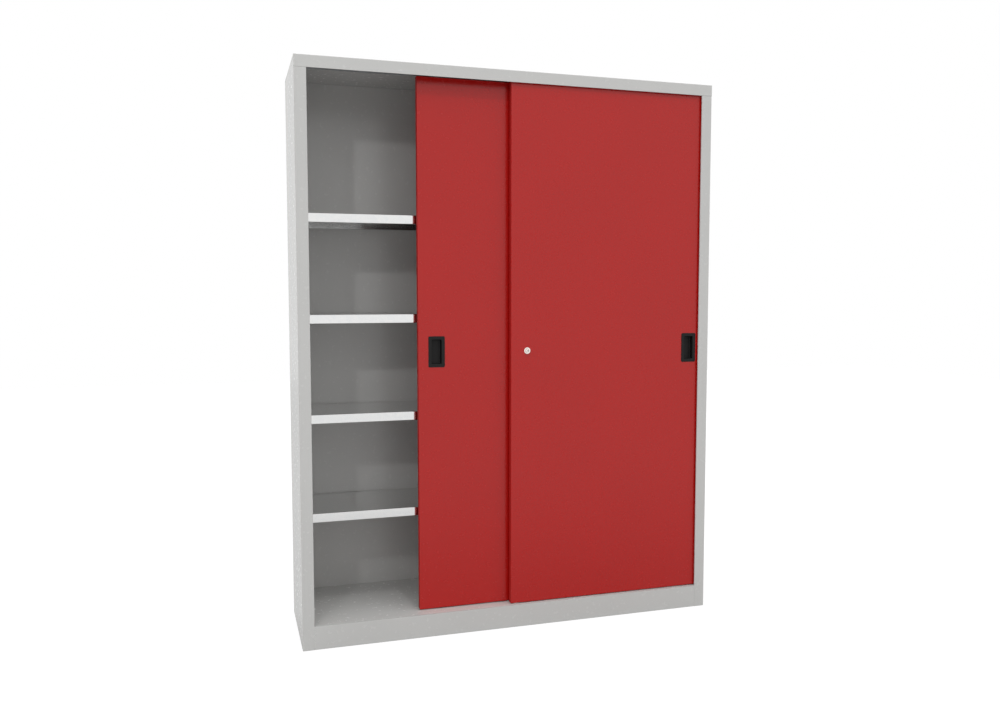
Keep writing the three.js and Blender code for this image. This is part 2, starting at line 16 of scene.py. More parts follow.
import bmesh
import bpy
import numpy as np
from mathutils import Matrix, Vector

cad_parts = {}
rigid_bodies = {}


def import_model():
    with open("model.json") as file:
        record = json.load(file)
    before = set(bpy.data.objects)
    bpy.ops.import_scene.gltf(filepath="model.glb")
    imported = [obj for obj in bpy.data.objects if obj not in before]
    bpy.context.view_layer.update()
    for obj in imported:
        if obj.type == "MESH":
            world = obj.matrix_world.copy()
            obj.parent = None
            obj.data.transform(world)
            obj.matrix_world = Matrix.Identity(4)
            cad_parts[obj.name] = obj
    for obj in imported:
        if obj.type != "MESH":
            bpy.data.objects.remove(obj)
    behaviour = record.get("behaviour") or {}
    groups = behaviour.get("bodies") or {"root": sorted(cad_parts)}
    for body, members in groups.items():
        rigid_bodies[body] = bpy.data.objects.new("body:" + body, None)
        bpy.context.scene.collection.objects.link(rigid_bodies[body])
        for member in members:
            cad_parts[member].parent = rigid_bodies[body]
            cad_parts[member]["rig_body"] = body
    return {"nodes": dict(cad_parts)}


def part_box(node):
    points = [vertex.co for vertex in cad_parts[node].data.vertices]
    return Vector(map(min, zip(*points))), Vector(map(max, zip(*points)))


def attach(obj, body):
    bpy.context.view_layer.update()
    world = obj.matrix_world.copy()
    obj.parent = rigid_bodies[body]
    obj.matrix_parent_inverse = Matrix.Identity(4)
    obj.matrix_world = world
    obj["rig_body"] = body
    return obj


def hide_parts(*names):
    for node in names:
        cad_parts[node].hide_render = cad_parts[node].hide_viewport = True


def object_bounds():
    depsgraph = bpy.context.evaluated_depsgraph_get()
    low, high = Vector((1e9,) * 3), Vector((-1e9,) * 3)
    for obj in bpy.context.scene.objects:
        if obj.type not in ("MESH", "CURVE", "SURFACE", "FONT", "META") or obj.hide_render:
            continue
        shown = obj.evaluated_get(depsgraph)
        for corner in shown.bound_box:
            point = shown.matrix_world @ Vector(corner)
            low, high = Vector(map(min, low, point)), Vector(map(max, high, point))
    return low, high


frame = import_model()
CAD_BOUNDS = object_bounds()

MM = 0.001
MERGE = 0.002 * MM  # points that lie closer together than this become one
SHARP = math.radians(32)  # an edge that turns further than this stays sharp in the shading
EDGE_FROM = math.radians(50)  # an edge that turns further than this is rounded
EDGE_STEPS = 2
NOISE_SPREAD = (0.3, 0.7)  # most values of a noise pattern lie between these
WAVE_TURN = 20.0  # the radians that a wave pattern turns through in one unit of its scaled place
WHITE = (1.0, 1.0, 1.0, 1.0)
LOG = logging.getLogger("cabinet")

Socket = bpy.types.NodeSocket
Inputs = dict[str | int, object]
Points = Sequence[Sequence[float]]
Pair = tuple[float, float]
Steps = tuple[Pair, ...]


class Axis(Enum):
    """A direction of the frame, by its place in a point."""

    X = 0
    Y = 1
    Z = 2

    @property
    def plane(self) -> tuple[int, int]:
        """The two other directions, in rising order."""
        first, second = [index for index in range(3) if index != self.value]
        return first, second


class Side(Enum):
    """Left or right of the cabinet's middle, by its sign along X."""

    LEFT = -1
    RIGHT = 1

    @property
    def label(self) -> str:
        """The side's word in a node's name."""
        return self.name.lower()


class Slot(Enum):
    """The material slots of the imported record."""

    GREY_PAINT = "grey_paint"
    RED_PAINT = "red_paint"
    GALVANISED_STEEL = "galvanised_steel"
    ZINC_PLATE = "zinc_plate"
    BLACK_PLASTIC = "black_plastic"
    NYLON = "nylon"
    NICKEL = "nickel"
    RUBBER = "rubber"


@dataclass(frozen=True)
class Box:
    """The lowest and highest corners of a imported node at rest, in metres."""

    low: np.ndarray
    high: np.ndarray

    @classmethod
    def of(cls, node: str) -> "Box":
        """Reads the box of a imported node."""
        low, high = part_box(node)
        return cls(np.array(low), np.array(high))

    @property
    def middle(self) -> np.ndarray:
        """The point half way between the two corners."""
        return (self.low + self.high) / 2

    @property
    def front_middle(self) -> np.ndarray:
        """The middle of the box's front face."""
        return self.middle * [1, 0, 1] + [0, self.low[1], 0]

    @property
    def size(self) -> np.ndarray:
        """The box's length along each direction."""
        return self.high - self.low

    def span(self, side: Side) -> tuple[float, float]:
        """How far from the cabinet's middle the box starts and ends, where it lies on one side."""
        return (self.low[0], self.high[0]) if side is Side.RIGHT else (-self.high[0], -self.low[0])


@dataclass(frozen=True)
class Surface:
    """Points and the faces between them."""

    points: np.ndarray
    faces: list[tuple[int, ...]]

    @classmethod
    def of_grid(cls, grid: np.ndarray, keep: np.ndarray | None = None, flip: bool = False) -> "Surface":
        """Joins the points of a grid into four-sided faces.

        A face looks the way of (step along the rows) x (step along the columns).

        Args:
            grid: points laid out as rows, columns, 3.
            keep: which cells have a face, one row and one column fewer than the grid.
            flip: whether the faces look the other way.

        Returns:
            The surface.
        """
        rows, columns = grid.shape[:2]
        index = np.arange(rows * columns).reshape(rows, columns)
        corners = [index[:-1, :-1], index[1:, :-1], index[1:, 1:], index[:-1, 1:]]
        faces = np.stack(corners[::-1] if flip else corners, axis=-1)
        chosen = faces.reshape(-1, 4) if keep is None else faces[keep]
        return cls(grid.reshape(-1, 3), [tuple(face) for face in chosen.tolist()])

    def joined(self, *others: "Surface") -> "Surface":
        """Puts this surface and others together.

        Args:
            others: the other surfaces.

        Returns:
            One surface with the points and faces of all.
        """
        points, faces = self.points, list(self.faces)
        for other in others:
            faces += [tuple(corner + len(points) for corner in face) for face in other.faces]
            points = np.concatenate([points, other.points])
        return Surface(points, faces)

    def mirrored(self) -> "Surface":
        """The surface on the other side of the cabinet's middle, still facing outwards."""
        return Surface(self.points * [-1, 1, 1], [face[::-1] for face in self.faces])

    def on(self, side: Side) -> "Surface":
        """The surface as it is drawn, for the right side, or mirrored for the left."""
        return self if side is Side.RIGHT else self.mirrored()


def cell_middles(grid: np.ndarray) -> np.ndarray:
    """The middle of each cell of a grid: the mean of its four corners."""
    return (grid[:-1, :-1] + grid[1:, :-1] + grid[1:, 1:] + grid[:-1, 1:]) / 4


def rounded(corners: Points, radii: Sequence[float], steps: int = 5) -> np.ndarray:
    """A path in a plane whose corners are rounded.

    Each corner gives way to an arc that touches both its legs. The arc's middle lies on the line that
    halves the corner, radius / sin(half angle) away, and its points turn evenly from leg to leg.

    Args:
        corners: the path's corners.
        radii: the radius at each corner but the first and the last, and 0 where the corner stays.
        steps: the steps in an arc.

    Returns:
        The points of the path.
    """
    path = np.asarray(corners, float)
    parts = [path[:1]]
    turn = np.linspace(0, 1, steps + 1)[:, None]
    for before, corner, after, radius in zip(path, path[1:], path[2:], radii):
        if radius == 0:
            parts.append(corner[None])
            continue
        back = (before - corner) / np.linalg.norm(before - corner)
        on = (after - corner) / np.linalg.norm(after - corner)
        half = math.acos(float(np.clip(back @ on, -1, 1))) / 2
        middle = corner + (back + on) / np.linalg.norm(back + on) * radius / math.sin(half)
        start = corner + back * radius / math.tan(half) - middle
        end = corner + on * radius / math.tan(half) - middle
        sweep = math.pi - 2 * half
        arc = (np.sin((1 - turn) * sweep) * start + np.sin(turn * sweep) * end) / math.sin(sweep)
        parts.append(middle + arc)
    return np.concatenate([*parts, path[-1:]])


def closed_outline(corners: Points, radius: float, steps: int = 3) -> np.ndarray:
    """A closed outline with the same radius at every corner.

    Args:
        corners: the outline's corners, each once.
        radius: the radius of the corners.
        steps: the steps in an arc.

    Returns:
        The points of the outline, each once.
    """
    path = np.asarray(corners, float)
    start = (path[0] + path[-1]) / 2
    around = np.concatenate([[start], path, [start]])
    return rounded(around, [radius] * len(path), steps)[:-1]


def both_halves(half: list[Pair], middle: float) -> list[Pair]:
    """A path and its mirror image about a middle line, walked back: first becomes 2 * middle - first."""
    return [*half, *((2 * middle - first, second) for first, second in reversed(half))]


def run_along(axis: Axis, profile: np.ndarray, lines: Sequence[float]) -> np.ndarray:
    """A grid that runs a profile straight along an axis.

    Its rows follow the profile and its columns the axis.

    Args:
        axis: the direction of the run.
        profile: points in the plane across the axis.
        lines: the places along the axis.

    Returns:
        The grid.
    """
    grid = np.empty((len(profile), len(lines), 3))
    first, second = axis.plane
    grid[..., first] = profile[:, None, 0]
    grid[..., second] = profile[:, None, 1]
    grid[..., axis.value] = np.asarray(lines)[None, :]
    return grid


def extruded(axis: Axis, outline: np.ndarray, low: float, high: float) -> Surface:
    """A solid bar: a closed outline run along an axis and closed by a flat face at each end.

    The outline is first turned to one sense of rotation, by the sign of the area that it goes round.

    Args:
        axis: the direction of the run.
        outline: the points of the section, each once.
        low: where the bar starts along the axis.
        high: where it ends.

    Returns:
        The closed surface, facing outwards.
    """
    after = np.roll(outline, -1, axis=0)
    area = np.sum(outline[:, 0] * after[:, 1] - after[:, 0] * outline[:, 1]) / 2
    handed = 1 if axis is Axis.Y else -1
    section = outline if area * handed < 0 else outline[::-1]
    around = tuple(range(len(section)))
    walls = Surface.of_grid(run_along(axis, np.concatenate([section, section[:1]]), [low, high]))
    ends = run_along(axis, section, [low, high])
    return walls.joined(Surface(ends[:, 0], [around[::-1]]), Surface(ends[:, 1], [around]))


def bar(low: Sequence[float], high: Sequence[float]) -> Surface:
    """A closed block between two corners."""
    outline = np.array([(low[0], low[1]), (high[0], low[1]), (high[0], high[1]), (low[0], high[1])])
    return extruded(Axis.Z, outline, low[2], high[2])


def strip(axis: Axis, level: float, low: Sequence[float], high: Sequence[float], towards: bool) -> Surface:
    """A flat rectangle across an axis.

    Args:
        axis: the direction that the rectangle lies across.
        level: its place along the axis.
        low: its lowest corner, in the two other directions.
        high: its highest corner.
        towards: whether it looks along the axis and not against it.

    Returns:
        The rectangle.
    """
    corners = np.array([low, (high[0], low[1]), (low[0], high[1]), high], float).reshape(2, 2, 2)
    grid = np.full((2, 2, 3), float(level))
    grid[..., list(axis.plane)] = corners
    return Surface.of_grid(grid, flip=(axis is Axis.Y) != towards)


def turned(axis: Axis, centre: np.ndarray, profile: Points, sides: int = 48) -> Surface:
    """A lathe shape: point = centre + axis * along + radius * (cos, sin) in the plane across the axis.

    Args:
        axis: the direction of the lathe's axis.
        centre: the point on the axis where along is 0.
        profile: pairs of radius and along. Where along grows, the surface looks away from the axis.
        sides: the steps in a turn.

    Returns:
        The surface.
    """
    path = np.asarray(profile, float)
    angles = np.linspace(0, 2 * math.pi, sides + 1)
    grid = np.tile(np.asarray(centre, float), (sides + 1, len(path), 1))
    grid[..., (axis.value + 1) % 3] += np.cos(angles)[:, None] * path[None, :, 0]
    grid[..., (axis.value + 2) % 3] += np.sin(angles)[:, None] * path[None, :, 0]
    grid[..., axis.value] += path[None, :, 1]
    return Surface.of_grid(grid)


@dataclass(frozen=True)
class Wave:
    """One long sine wave of a wide sheet: its share, its radians per metre and the radians it starts at."""

    share: float
    across: float
    up: float
    start: float = 0.0


def waviness(across: np.ndarray, up: np.ndarray, waves: Sequence[Wave]) -> np.ndarray:
    """How far a wide sheet stands off flat, from -1 to 1: its sine waves, weighted by their shares.

    Args:
        across: the places across the sheet, in metres.
        up: the places up the sheet, in metres.
        waves: the sine waves.

    Returns:
        The share at each place.
    """
    total = sum(wave.share * np.sin(wave.across * across + wave.up * up + wave.start) for wave in waves)
    return total / sum(wave.share for wave in waves)


def sine_window(places: np.ndarray, low: float, length: float) -> np.ndarray:
    """A share that rises from 0 at one end of a length to 1 at its middle and falls to 0 at the other."""
    return np.sin(math.pi * (places - low) / length)


@dataclass(frozen=True)
class Plate:
    """A place for shapes that are drawn flat: u to the right, v up and w back from the face."""

    corner: np.ndarray
    along_u: np.ndarray
    along_v: np.ndarray

    @classmethod
    def upright(cls, corner: Sequence[float]) -> "Plate":
        """A plate that faces the front, with u along X and v along Z."""
        return cls(np.array(corner, float), np.array([1.0, 0, 0]), np.array([0, 0, 1.0]))

    @classmethod
    def level(cls, corner: Sequence[float]) -> "Plate":
        """A plate that faces up, with u along X and v along Y."""
        return cls(np.array(corner, float), np.array([1.0, 0, 0]), np.array([0, 1.0, 0]))

    def place(self, flat: np.ndarray) -> np.ndarray:
        """Moves points from u, v, w into the frame. Back is the opposite of (u x v)."""
        back = -np.cross(self.along_u, self.along_v)
        return self.corner + flat @ np.stack([self.along_u, self.along_v, back])


@dataclass(frozen=True)
class Pan:
    """A sheet folded to a shallow box: a face, four edges turned back, and lips turned in and mitred."""

    width: float
    height: float
    depth: float
    bend: float
    lip: float
    spacing: float = 40 * MM
    bend_steps: int = 6
    unevenness: float = 0.0
    waves: tuple[Wave, ...] = (Wave(1.0, 9.1, 2.3), Wave(0.8, -3.7, 5.2, 1.0), Wave(0.6, 4.4, 13.0, 2.0))

    def lines(self, length: float) -> np.ndarray:
        """Even lines across the flat of the face, between its bends."""
        flat = length - 2 * self.bend
        return np.linspace(-flat / 2, flat / 2, max(2, round(flat / self.spacing) + 1))

    def rise(self, u: np.ndarray, v: np.ndarray) -> np.ndarray:
        """The face's slight waves: long sine waves, faded out towards the bends by a sine window.

        Args:
            u: the places across the face, from its middle.
            v: the places up the face, from its middle.

        Returns:
            How far back the face lies at each place.
        """
        wide, tall = self.width - 2 * self.bend, self.height - 2 * self.bend
        fade = sine_window(u, -wide / 2, wide) * sine_window(v, -tall / 2, tall)
        return self.unevenness * fade * waviness(u, v, self.waves)

    def surface(self, plate: Plate) -> Surface:
        """Works out the outer side of the folded sheet.

        The face is a grid of u and v. The rest is a profile carried round the face's border: it runs out
        along the border's normal by the bend radius, back by the depth and in again by the lip. At a corner
        the normal turns through a quarter, which makes the bend's corner a piece of a sphere. Behind the
        bends the path is held inside the shrinking rectangle, which mitres the lips.

        Args:
            plate: where the face lies, with its corner at the low end of u and v.

        Returns:
            The outer side, facing outwards.
        """
        u, v = self.lines(self.width), self.lines(self.height)
        half = np.array([u[-1], v[-1]])
        middle = np.array([self.width / 2, self.height / 2, 0])
        face = np.stack(np.broadcast_arrays(u[:, None], v[None, :], 0.0), axis=-1)
        face[..., 2] = self.rise(face[..., 0], face[..., 1])
        border, normals = self.border(u, v)
        out, back = self.profile()
        reach = border[None] + normals[None] * np.maximum(out, 0)[:, None, None]
        limit = half + out[:, None, None]
        depth = np.broadcast_to(back[:, None, None], (*reach.shape[:2], 1))
        ring = np.concatenate([np.clip(reach, -limit, limit), depth], axis=-1)
        front, edges = (Surface.of_grid(plate.place(grid + middle)) for grid in (face, ring))
        return front.joined(edges)

    def border(self, u: np.ndarray, v: np.ndarray) -> tuple[np.ndarray, np.ndarray]:
        """The face's border, walked round to the left of its outward normal.

        Args:
            u: the lines across the width.
            v: the lines up the height.

        Returns:
            The border's points and its outward normals, closed.
        """
        turn = np.linspace(0, math.pi / 2, self.bend_steps + 1)
        points, normals = [], []
        sides = [
            (np.stack([u, np.full_like(u, v[0])], 1), -math.pi / 2),
            (np.stack([np.full_like(v, u[-1]), v], 1), 0.0),
            (np.stack([u[::-1], np.full_like(u, v[-1])], 1), math.pi / 2),
            (np.stack([np.full_like(v, u[0]), v[::-1]], 1), math.pi),
        ]
        for side, angle in sides:
            points += [side, np.repeat(side[-1:], len(turn), axis=0)]
            angles = np.concatenate([np.full(len(side), angle), angle + turn])
            normals.append(np.stack([np.cos(angles), np.sin(angles)], 1))
        path, outward = np.concatenate(points), np.concatenate(normals)
        return np.concatenate([path, path[:1]]), np.concatenate([outward, outward[:1]])

    def profile(self) -> tuple[np.ndarray, np.ndarray]:
        """Works out the section of a folded edge, from the face's border on.

        Returns:
            How far outside the border each point lies, and how far behind the face.
        """
        corners = [(0, 0), (self.bend, 0), (self.bend, self.depth), (self.bend - self.lip, self.depth)]
        path = rounded(corners, [self.bend, self.bend], self.bend_steps)
        return path[:, 0], path[:, 1]


def carried_round(plate: Plate, half: Sequence[float], rings: np.ndarray, steps: int = 6) -> Surface:
    """A moulding's surface: each ring is a rounded rectangle, drawn in by an inset and set back by a depth.

    A ring's point is (half - inset - corner) to the corner's side, plus corner * (cos, sin).

    Args:
        plate: where the moulding's middle lies.
        half: half the moulding's width and height.
        rings: each ring's inset, depth and corner radius, from the middle of the front outwards and round to
            the back.
        steps: the steps in a corner.

    Returns:
        The surface, facing outwards.
    """
    quarter = np.linspace(0, math.pi / 2, steps + 1)
    angles = np.concatenate([quarter - math.pi / 2, quarter, quarter + math.pi / 2, quarter + math.pi])
    signs = np.repeat([[1, -1], [1, 1], [-1, 1], [-1, -1]], steps + 1, axis=0)
    straight = np.maximum(np.asarray(half) - (rings[:, 0] + rings[:, 2])[:, None], 0)
    circle = np.stack([np.cos(angles), np.sin(angles)], 1)
    flat = signs[None] * straight[:, None] + circle[None] * rings[:, 2, None, None]
    depth = np.broadcast_to(rings[:, 1, None, None], (*flat.shape[:2], 1))
    grid = np.concatenate([flat, depth], axis=-1)
    return Surface.of_grid(plate.place(np.concatenate([grid, grid[:, :1]], axis=1)))


def linear(value: str) -> tuple[float, float, float, float]:
    """Turns an sRGB hex colour into the linear one that a shader takes.

    By the sRGB standard a share up to 0.04045 is divided by 12.92, and a larger one is raised by 0.055,
    divided by 1.055 and taken to the power of 2.4.

    Args:
        value: six hex digits.

    Returns:
        Red, green, blue and 1.
    """
    shares = [int(value[place : place + 2], 16) / 255 for place in (0, 2, 4)]
    curve = [share / 12.92 if share <= 0.04045 else ((share + 0.055) / 1.055) ** 2.4 for share in shares]
    return curve[0], curve[1], curve[2], 1.0


@dataclass(frozen=True)
class Nodes:
    """A tree of shader nodes, and the few steps that build one."""

    tree: bpy.types.NodeTree

    @classmethod
    def of(cls, owner: bpy.types.Material | bpy.types.World) -> "Nodes":
        """Gives a material or a world an empty tree of nodes.

        Args:
            owner: the material or the world.

        Returns:
            The tree.
        """
        owner.use_nodes = True
        owner.node_tree.nodes.clear()
        return cls(owner.node_tree)

    @cached_property
    def point(self) -> bpy.types.NodeOutputs:
        """What is known of a point: Object is its place in metres, and Normal the way it faces."""
        return self.add("TexCoord").outputs

    def add(self, kind: str, values: Inputs | None = None) -> bpy.types.Node:
        """Adds a node and fills it in.

        Args:
            kind: the node's type, without the word ShaderNode before it.
            values: what each property or input gets, by its name, or by an input's number. What another node
                puts out is linked, and anything else is set.

        Returns:
            The node.
        """
        node = self.tree.nodes.new(f"ShaderNode{kind}")
        for key, value in (values or {}).items():
            if isinstance(value, Socket):
                self.tree.links.new(value, node.inputs[key])
            elif isinstance(key, str) and hasattr(node, key):
                setattr(node, key, value)
            else:
                node.inputs[key].default_value = value
        return node

    def math(self, operation: str, *values: Socket | float) -> Socket:
        """The result of a sum, a power or the like, of numbers and of what other nodes put out."""
        return self.add("Math", {"operation": operation, **dict(enumerate(values))}).outputs[0]

    def noise(self, width: float, detail: float = 2.0, place: Socket | None = None) -> Socket:
        """Adds soft blotches of about one width.

        Args:
            width: the width, in metres.
            detail: how many finer patterns lie over the first.
            place: the place that is looked up, or the point itself if there is none.

        Returns:
            A value between 0 and 1.
        """
        vector = self.point["Object"] if place is None else place
        values = {"Scale": 1 / width, "Detail": detail, "Roughness": 0.5, "Vector": vector}
        return self.add("TexNoise", values).outputs["Fac"]

    def between(self, value: Socket, low: float, high: float, source: Pair = NOISE_SPREAD) -> Socket:
        """Spreads a value evenly over another range.

        Args:
            value: the value.
            low: what it becomes where it starts.
            high: what it becomes where it ends.
            source: where it starts and ends.

        Returns:
            The spread value.
        """
        start, end = source
        values = {"Value": value, "From Min": start, "From Max": end, "To Min": low, "To Max": high}
        return self.add("MapRange", values).outputs["Result"]

    def blend(self, share: Socket, first: str, second: str) -> Socket:
        """Goes from the first colour to the second by a share."""
        values = {"data_type": "RGBA", 0: share, 6: linear(first), 7: linear(second)}
        return self.add("Mix", values).outputs[2]

    def relief(self, height: Socket, strength: float, depth: float) -> Socket:
        """Turns a pattern into a shallow relief of a depth in metres, as a normal for a shader."""
        values = {"Strength": strength, "Distance": depth, "Height": height}
        return self.add("Bump", values).outputs["Normal"]

    def seen_or_lighting(self, seen: bpy.types.Node, lighting: bpy.types.Node) -> Socket:
        """Shows one shader where it is looked at, and gives off another's light.

        A ray looks if it comes from the eye, or by way of a reflection or a clear piece.

        Args:
            seen: the shader that is looked at.
            lighting: the shader for rays that carry soft light.

        Returns:
            The mixed shader.
        """
        path = self.add("LightPath").outputs
        looks = self.math("MAXIMUM", path["Is Camera Ray"], path["Is Glossy Ray"])
        looks = self.math("MAXIMUM", looks, path["Is Transmission Ray"])
        return self.add("MixShader", {0: looks, 1: lighting.outputs[0], 2: seen.outputs[0]}).outputs[0]


@dataclass(frozen=True)
class Finish(ABC):
    """What a surface is made of and how it was treated."""

    name: str
    slot: Slot
    colour: str

    def material(self) -> bpy.types.Material:
        """Makes the finish's material, or finds it where it is already made.

        Returns:
            The material.
        """
        made = bpy.data.materials.get(self.name)
        if made:
            return made
        material = bpy.data.materials.new(self.name)
        nodes = Nodes.of(material)
        shader = nodes.add("BsdfPrincipled", self.inputs(nodes))
        nodes.add("OutputMaterial", {"Surface": shader.outputs[0]})
        return material

    @abstractmethod
    def inputs(self, nodes: Nodes) -> Inputs:
        """Adds the finish's patterns.

        Args:
            nodes: the material's nodes.

        Returns:
            What goes into each input of the material's shader.
        """


@dataclass(frozen=True)
class PowderCoat(Finish):
    """Polyester powder, sprayed on and baked: an even, semi-gloss skin with a faint orange peel."""

    thick: str = "ffffff"  # the colour where the coat lies a little thicker
    roughness: Pair = (0.22, 0.28)
    cloud: float = 260 * MM
    gloss_patch: float = 15 * MM
    peel: float = 5 * MM  # really about 1.5 mm wide, drawn wider so that it shows
    peel_height: float = 0.012 * MM
    peel_strength: float = 0.12
    index: float = 1.5
    side_roughness: float = 0.0  # what a face that looks along X adds, where the coat lies thin past a fold
    side_faces: Pair = (0.5, 1.0)  # the share of the normal along X where that starts and where it is full

    def inputs(self, nodes: Nodes) -> Inputs:
        """Adds clouds in the colour, patches in the gloss, and the orange peel.

        Args:
            nodes: the material's nodes.

        Returns:
            What goes into each input of the material's shader.
        """
        roughness = nodes.between(nodes.noise(self.gloss_patch), *self.roughness)
        if self.side_roughness:
            normal = nodes.add("SeparateXYZ", {"Vector": nodes.point["Normal"]})
            sideways = nodes.math("ABSOLUTE", normal.outputs["X"])
            extra = nodes.between(sideways, 0.0, self.side_roughness, self.side_faces)
            roughness = nodes.math("ADD", roughness, extra)
        return {
            "IOR": self.index,
            "Base Color": nodes.blend(nodes.between(nodes.noise(self.cloud), 0, 1), self.colour, self.thick),
            "Roughness": roughness,
            "Normal": nodes.relief(nodes.noise(self.peel, 1.0), self.peel_strength, self.peel_height),
        }


@dataclass(frozen=True)
class GalvanisedSheet(Finish):
    """Hot-dipped zinc, rolled bright: flat crystals whose tone and gloss differ a little."""

    other: str = "ffffff"  # the colour of the palest crystals
    spangle: float = 11 * MM
    roughness: Pair = (0.08, 0.12)
    streak: float = 2.5 * MM
    streak_stretch: tuple[float, float, float] = (0.02, 1.0, 1.0)
    streak_strength: float = 0.08
    streak_height: float = 0.01 * MM

    def inputs(self, nodes: Nodes) -> Inputs:
        """Adds crystals in tone and gloss, and faint rolling streaks along X.

        Args:
            nodes: the material's nodes.

        Returns:
            What goes into each input of the material's shader.
        """
        place = nodes.point["Object"]
        crystals = nodes.add("TexVoronoi", {"Scale": 1 / self.spangle, "Randomness": 1.0, "Vector": place})
        tone = nodes.add("SeparateColor", {"Color": crystals.outputs["Color"]}).outputs
        stretched = nodes.add("Mapping", {"Scale": self.streak_stretch, "Vector": place}).outputs["Vector"]
        streaks = nodes.noise(self.streak, place=stretched)
        return {
            "Metallic": 1.0,
            "Base Color": nodes.blend(tone["Red"], self.colour, self.other),
            "Roughness": nodes.between(tone["Green"], *self.roughness, (0.0, 1.0)),
            "Normal": nodes.relief(streaks, self.streak_strength, self.streak_height),
        }


@dataclass(frozen=True)
class ZincPlate(Finish):
    """Electroplated zinc with a clear passivation: a grey metal with faint cloudy stains."""

    stain: str = "ffffff"  # the colour of the stains
    cloud: float = 9 * MM
    cloud_detail: float = 4.0
    roughness: Pair = (0.28, 0.42)

    def inputs(self, nodes: Nodes) -> Inputs:
        """Adds stains in colour and gloss.

        Args:
            nodes: the material's nodes.

        Returns:
            What goes into each input of the material's shader.
        """
        clouds = nodes.noise(self.cloud, self.cloud_detail)
        return {
            "Metallic": 1.0,
            "Base Color": nodes.blend(nodes.between(clouds, 0, 1), self.colour, self.stain),
            "Roughness": nodes.between(clouds, *self.roughness),
        }


@dataclass(frozen=True)
class Moulding(Finish):
    """An injection-moulded part: an even colour with a fine grain from the mould."""

    worn: str = "ffffff"  # the colour where the surface is rubbed
    roughness: float = 0.5
    roughness_spread: float = 0.05
    grain: float = 0.9 * MM
    grain_height: float = 0.03 * MM
    grain_strength: float = 0.5
    rubbed_grains: float = 20.0  # how many grains wide a rubbed patch is
    index: float = 1.5
    shine: float = 0.5

    def inputs(self, nodes: Nodes) -> Inputs:
        """Adds the mould's grain, and a touch of rubbed shine.

        Args:
            nodes: the material's nodes.

        Returns:
            What goes into each input of the material's shader.
        """
        rubbed = nodes.noise(self.grain * self.rubbed_grains)
        low, high = self.roughness - self.roughness_spread, self.roughness + self.roughness_spread
        return {
            "IOR": self.index,
            "Specular IOR Level": self.shine,
            "Base Color": nodes.blend(nodes.between(rubbed, 0, 1), self.colour, self.worn),
            "Roughness": nodes.between(rubbed, low, high),
            "Normal": nodes.relief(nodes.noise(self.grain), self.grain_strength, self.grain_height),
        }


@dataclass(frozen=True)
class NickelPlate(Finish):
    """Turned brass plated with nickel: a warm, bright metal with fine rings about the lock's axis."""

    centre: tuple[float, float, float] = (0.0, 0.0, 0.0)
    roughness: Pair = (0.05, 0.1)
    ring: float = math.pi * MM  # the tool's marks are really finer, and are drawn wider so that they show
    ring_distortion: float = 0.4
    ring_strength: float = 0.03
    ring_height: float = 0.01 * MM
    stain: float = 4 * MM
    plated_to: float = 1.0  # how far back along Y the nickel stays bright, past which the dark colour paints the keyway's shade
    plating_fade: float = 0.5 * MM
    # the near black colour that is painted into the keyway as its shade
    dark: str = "2a2119"

    def inputs(self, nodes: Nodes) -> Inputs:
        """Adds the rings of the turning tool, faint stains in the gloss, and painted shade past a depth
        along Y.

        Args:
            nodes: the material's nodes.

        Returns:
            What goes into each input of the material's shader.
        """
        place = nodes.point["Object"]
        centred = nodes.add("Mapping", {"Location": [-share for share in self.centre], "Vector": place})
        values = {
            "wave_type": "RINGS",
            "rings_direction": "Y",
            "Scale": 2 * math.pi / (WAVE_TURN * self.ring),
            "Distortion": self.ring_distortion,
            "Vector": centred.outputs["Vector"],
        }
        rings = nodes.add("TexWave", values).outputs["Fac"]
        depth = nodes.add("SeparateXYZ", {"Vector": place}).outputs["Y"]
        keyway_painted_shade = nodes.between(depth, 0.0, 1.0, (self.plated_to, self.plated_to + self.plating_fade))
        return {
            "Metallic": 1.0,
            "Base Color": nodes.blend(keyway_painted_shade, self.colour, self.dark),
            "Roughness": nodes.between(nodes.noise(self.stain), *self.roughness),
            "Normal": nodes.relief(rings, self.ring_strength, self.ring_height),
        }


LOCK_BOX = Box.of("lock_housing")
KEYWAY_BRIGHT_DEPTH = 0.2 * MM  # how far into the keyway the nickel stays bright, before the painted shade starts

# Baked polyester powder gives an even, semi-gloss skin: a lamp shows as a soft patch, rippled by the peel.
GREY = PowderCoat("light grey powder coat", Slot.GREY_PAINT, "ccccca", thick="cacac8")
# The same coat in red. It lies thin past the folds, so the doors' side faces look duller than their fronts.
RED = PowderCoat("red powder coat", Slot.RED_PAINT, "b6100a", thick="b3100a", side_roughness=0.5)
# Zinc from the hot dip, rolled bright, mirrors what is near it, and each crystal a little differently.
GALVANISED = GalvanisedSheet("bright galvanised sheet", Slot.GALVANISED_STEEL, "e5e6e6", other="e9e9e8")
# Electroplated zinc is a satin grey metal, clouded where the passivation left stains.
ZINC = ZincPlate("zinc plate, clear passivated", Slot.ZINC_PLATE, "bfc2c6", stain="b3b5b6")
# A grained mould gives black ABS a dull, near black skin: only its rolled rim catches a line of light.
BLACK_ABS = Moulding(
    "black ABS, fine mould grain", Slot.BLACK_PLASTIC, "1a1919", worn="1d1c1c", roughness=0.42, shine=0.2
)
# Nylon without dye is off-white and looks waxy: a plain, half matt skin.
NYLON = Moulding("natural nylon, moulded", Slot.NYLON, "d8d5ca", worn="dedbd2")
# Nickel over turned brass is a warm mirror: it shows the room's brightness, in the faint rings of the tool.
NICKEL = NickelPlate("nickel plate on turned brass", Slot.NICKEL, "faf4ee", centre=tuple(LOCK_BOX.middle))
# The same nickel with the keyway's shade painted in: past its mouth the slot takes a near black colour.
NICKEL_WITH_PAINTED_KEYWAY_SHADE = NickelPlate(
    "nickel plate, dark in the keyway",
    Slot.NICKEL,
    "faf4ee",
    centre=tuple(LOCK_BOX.middle),
    plated_to=Box.of("lock_plug").low[1] + KEYWAY_BRIGHT_DEPTH,
)
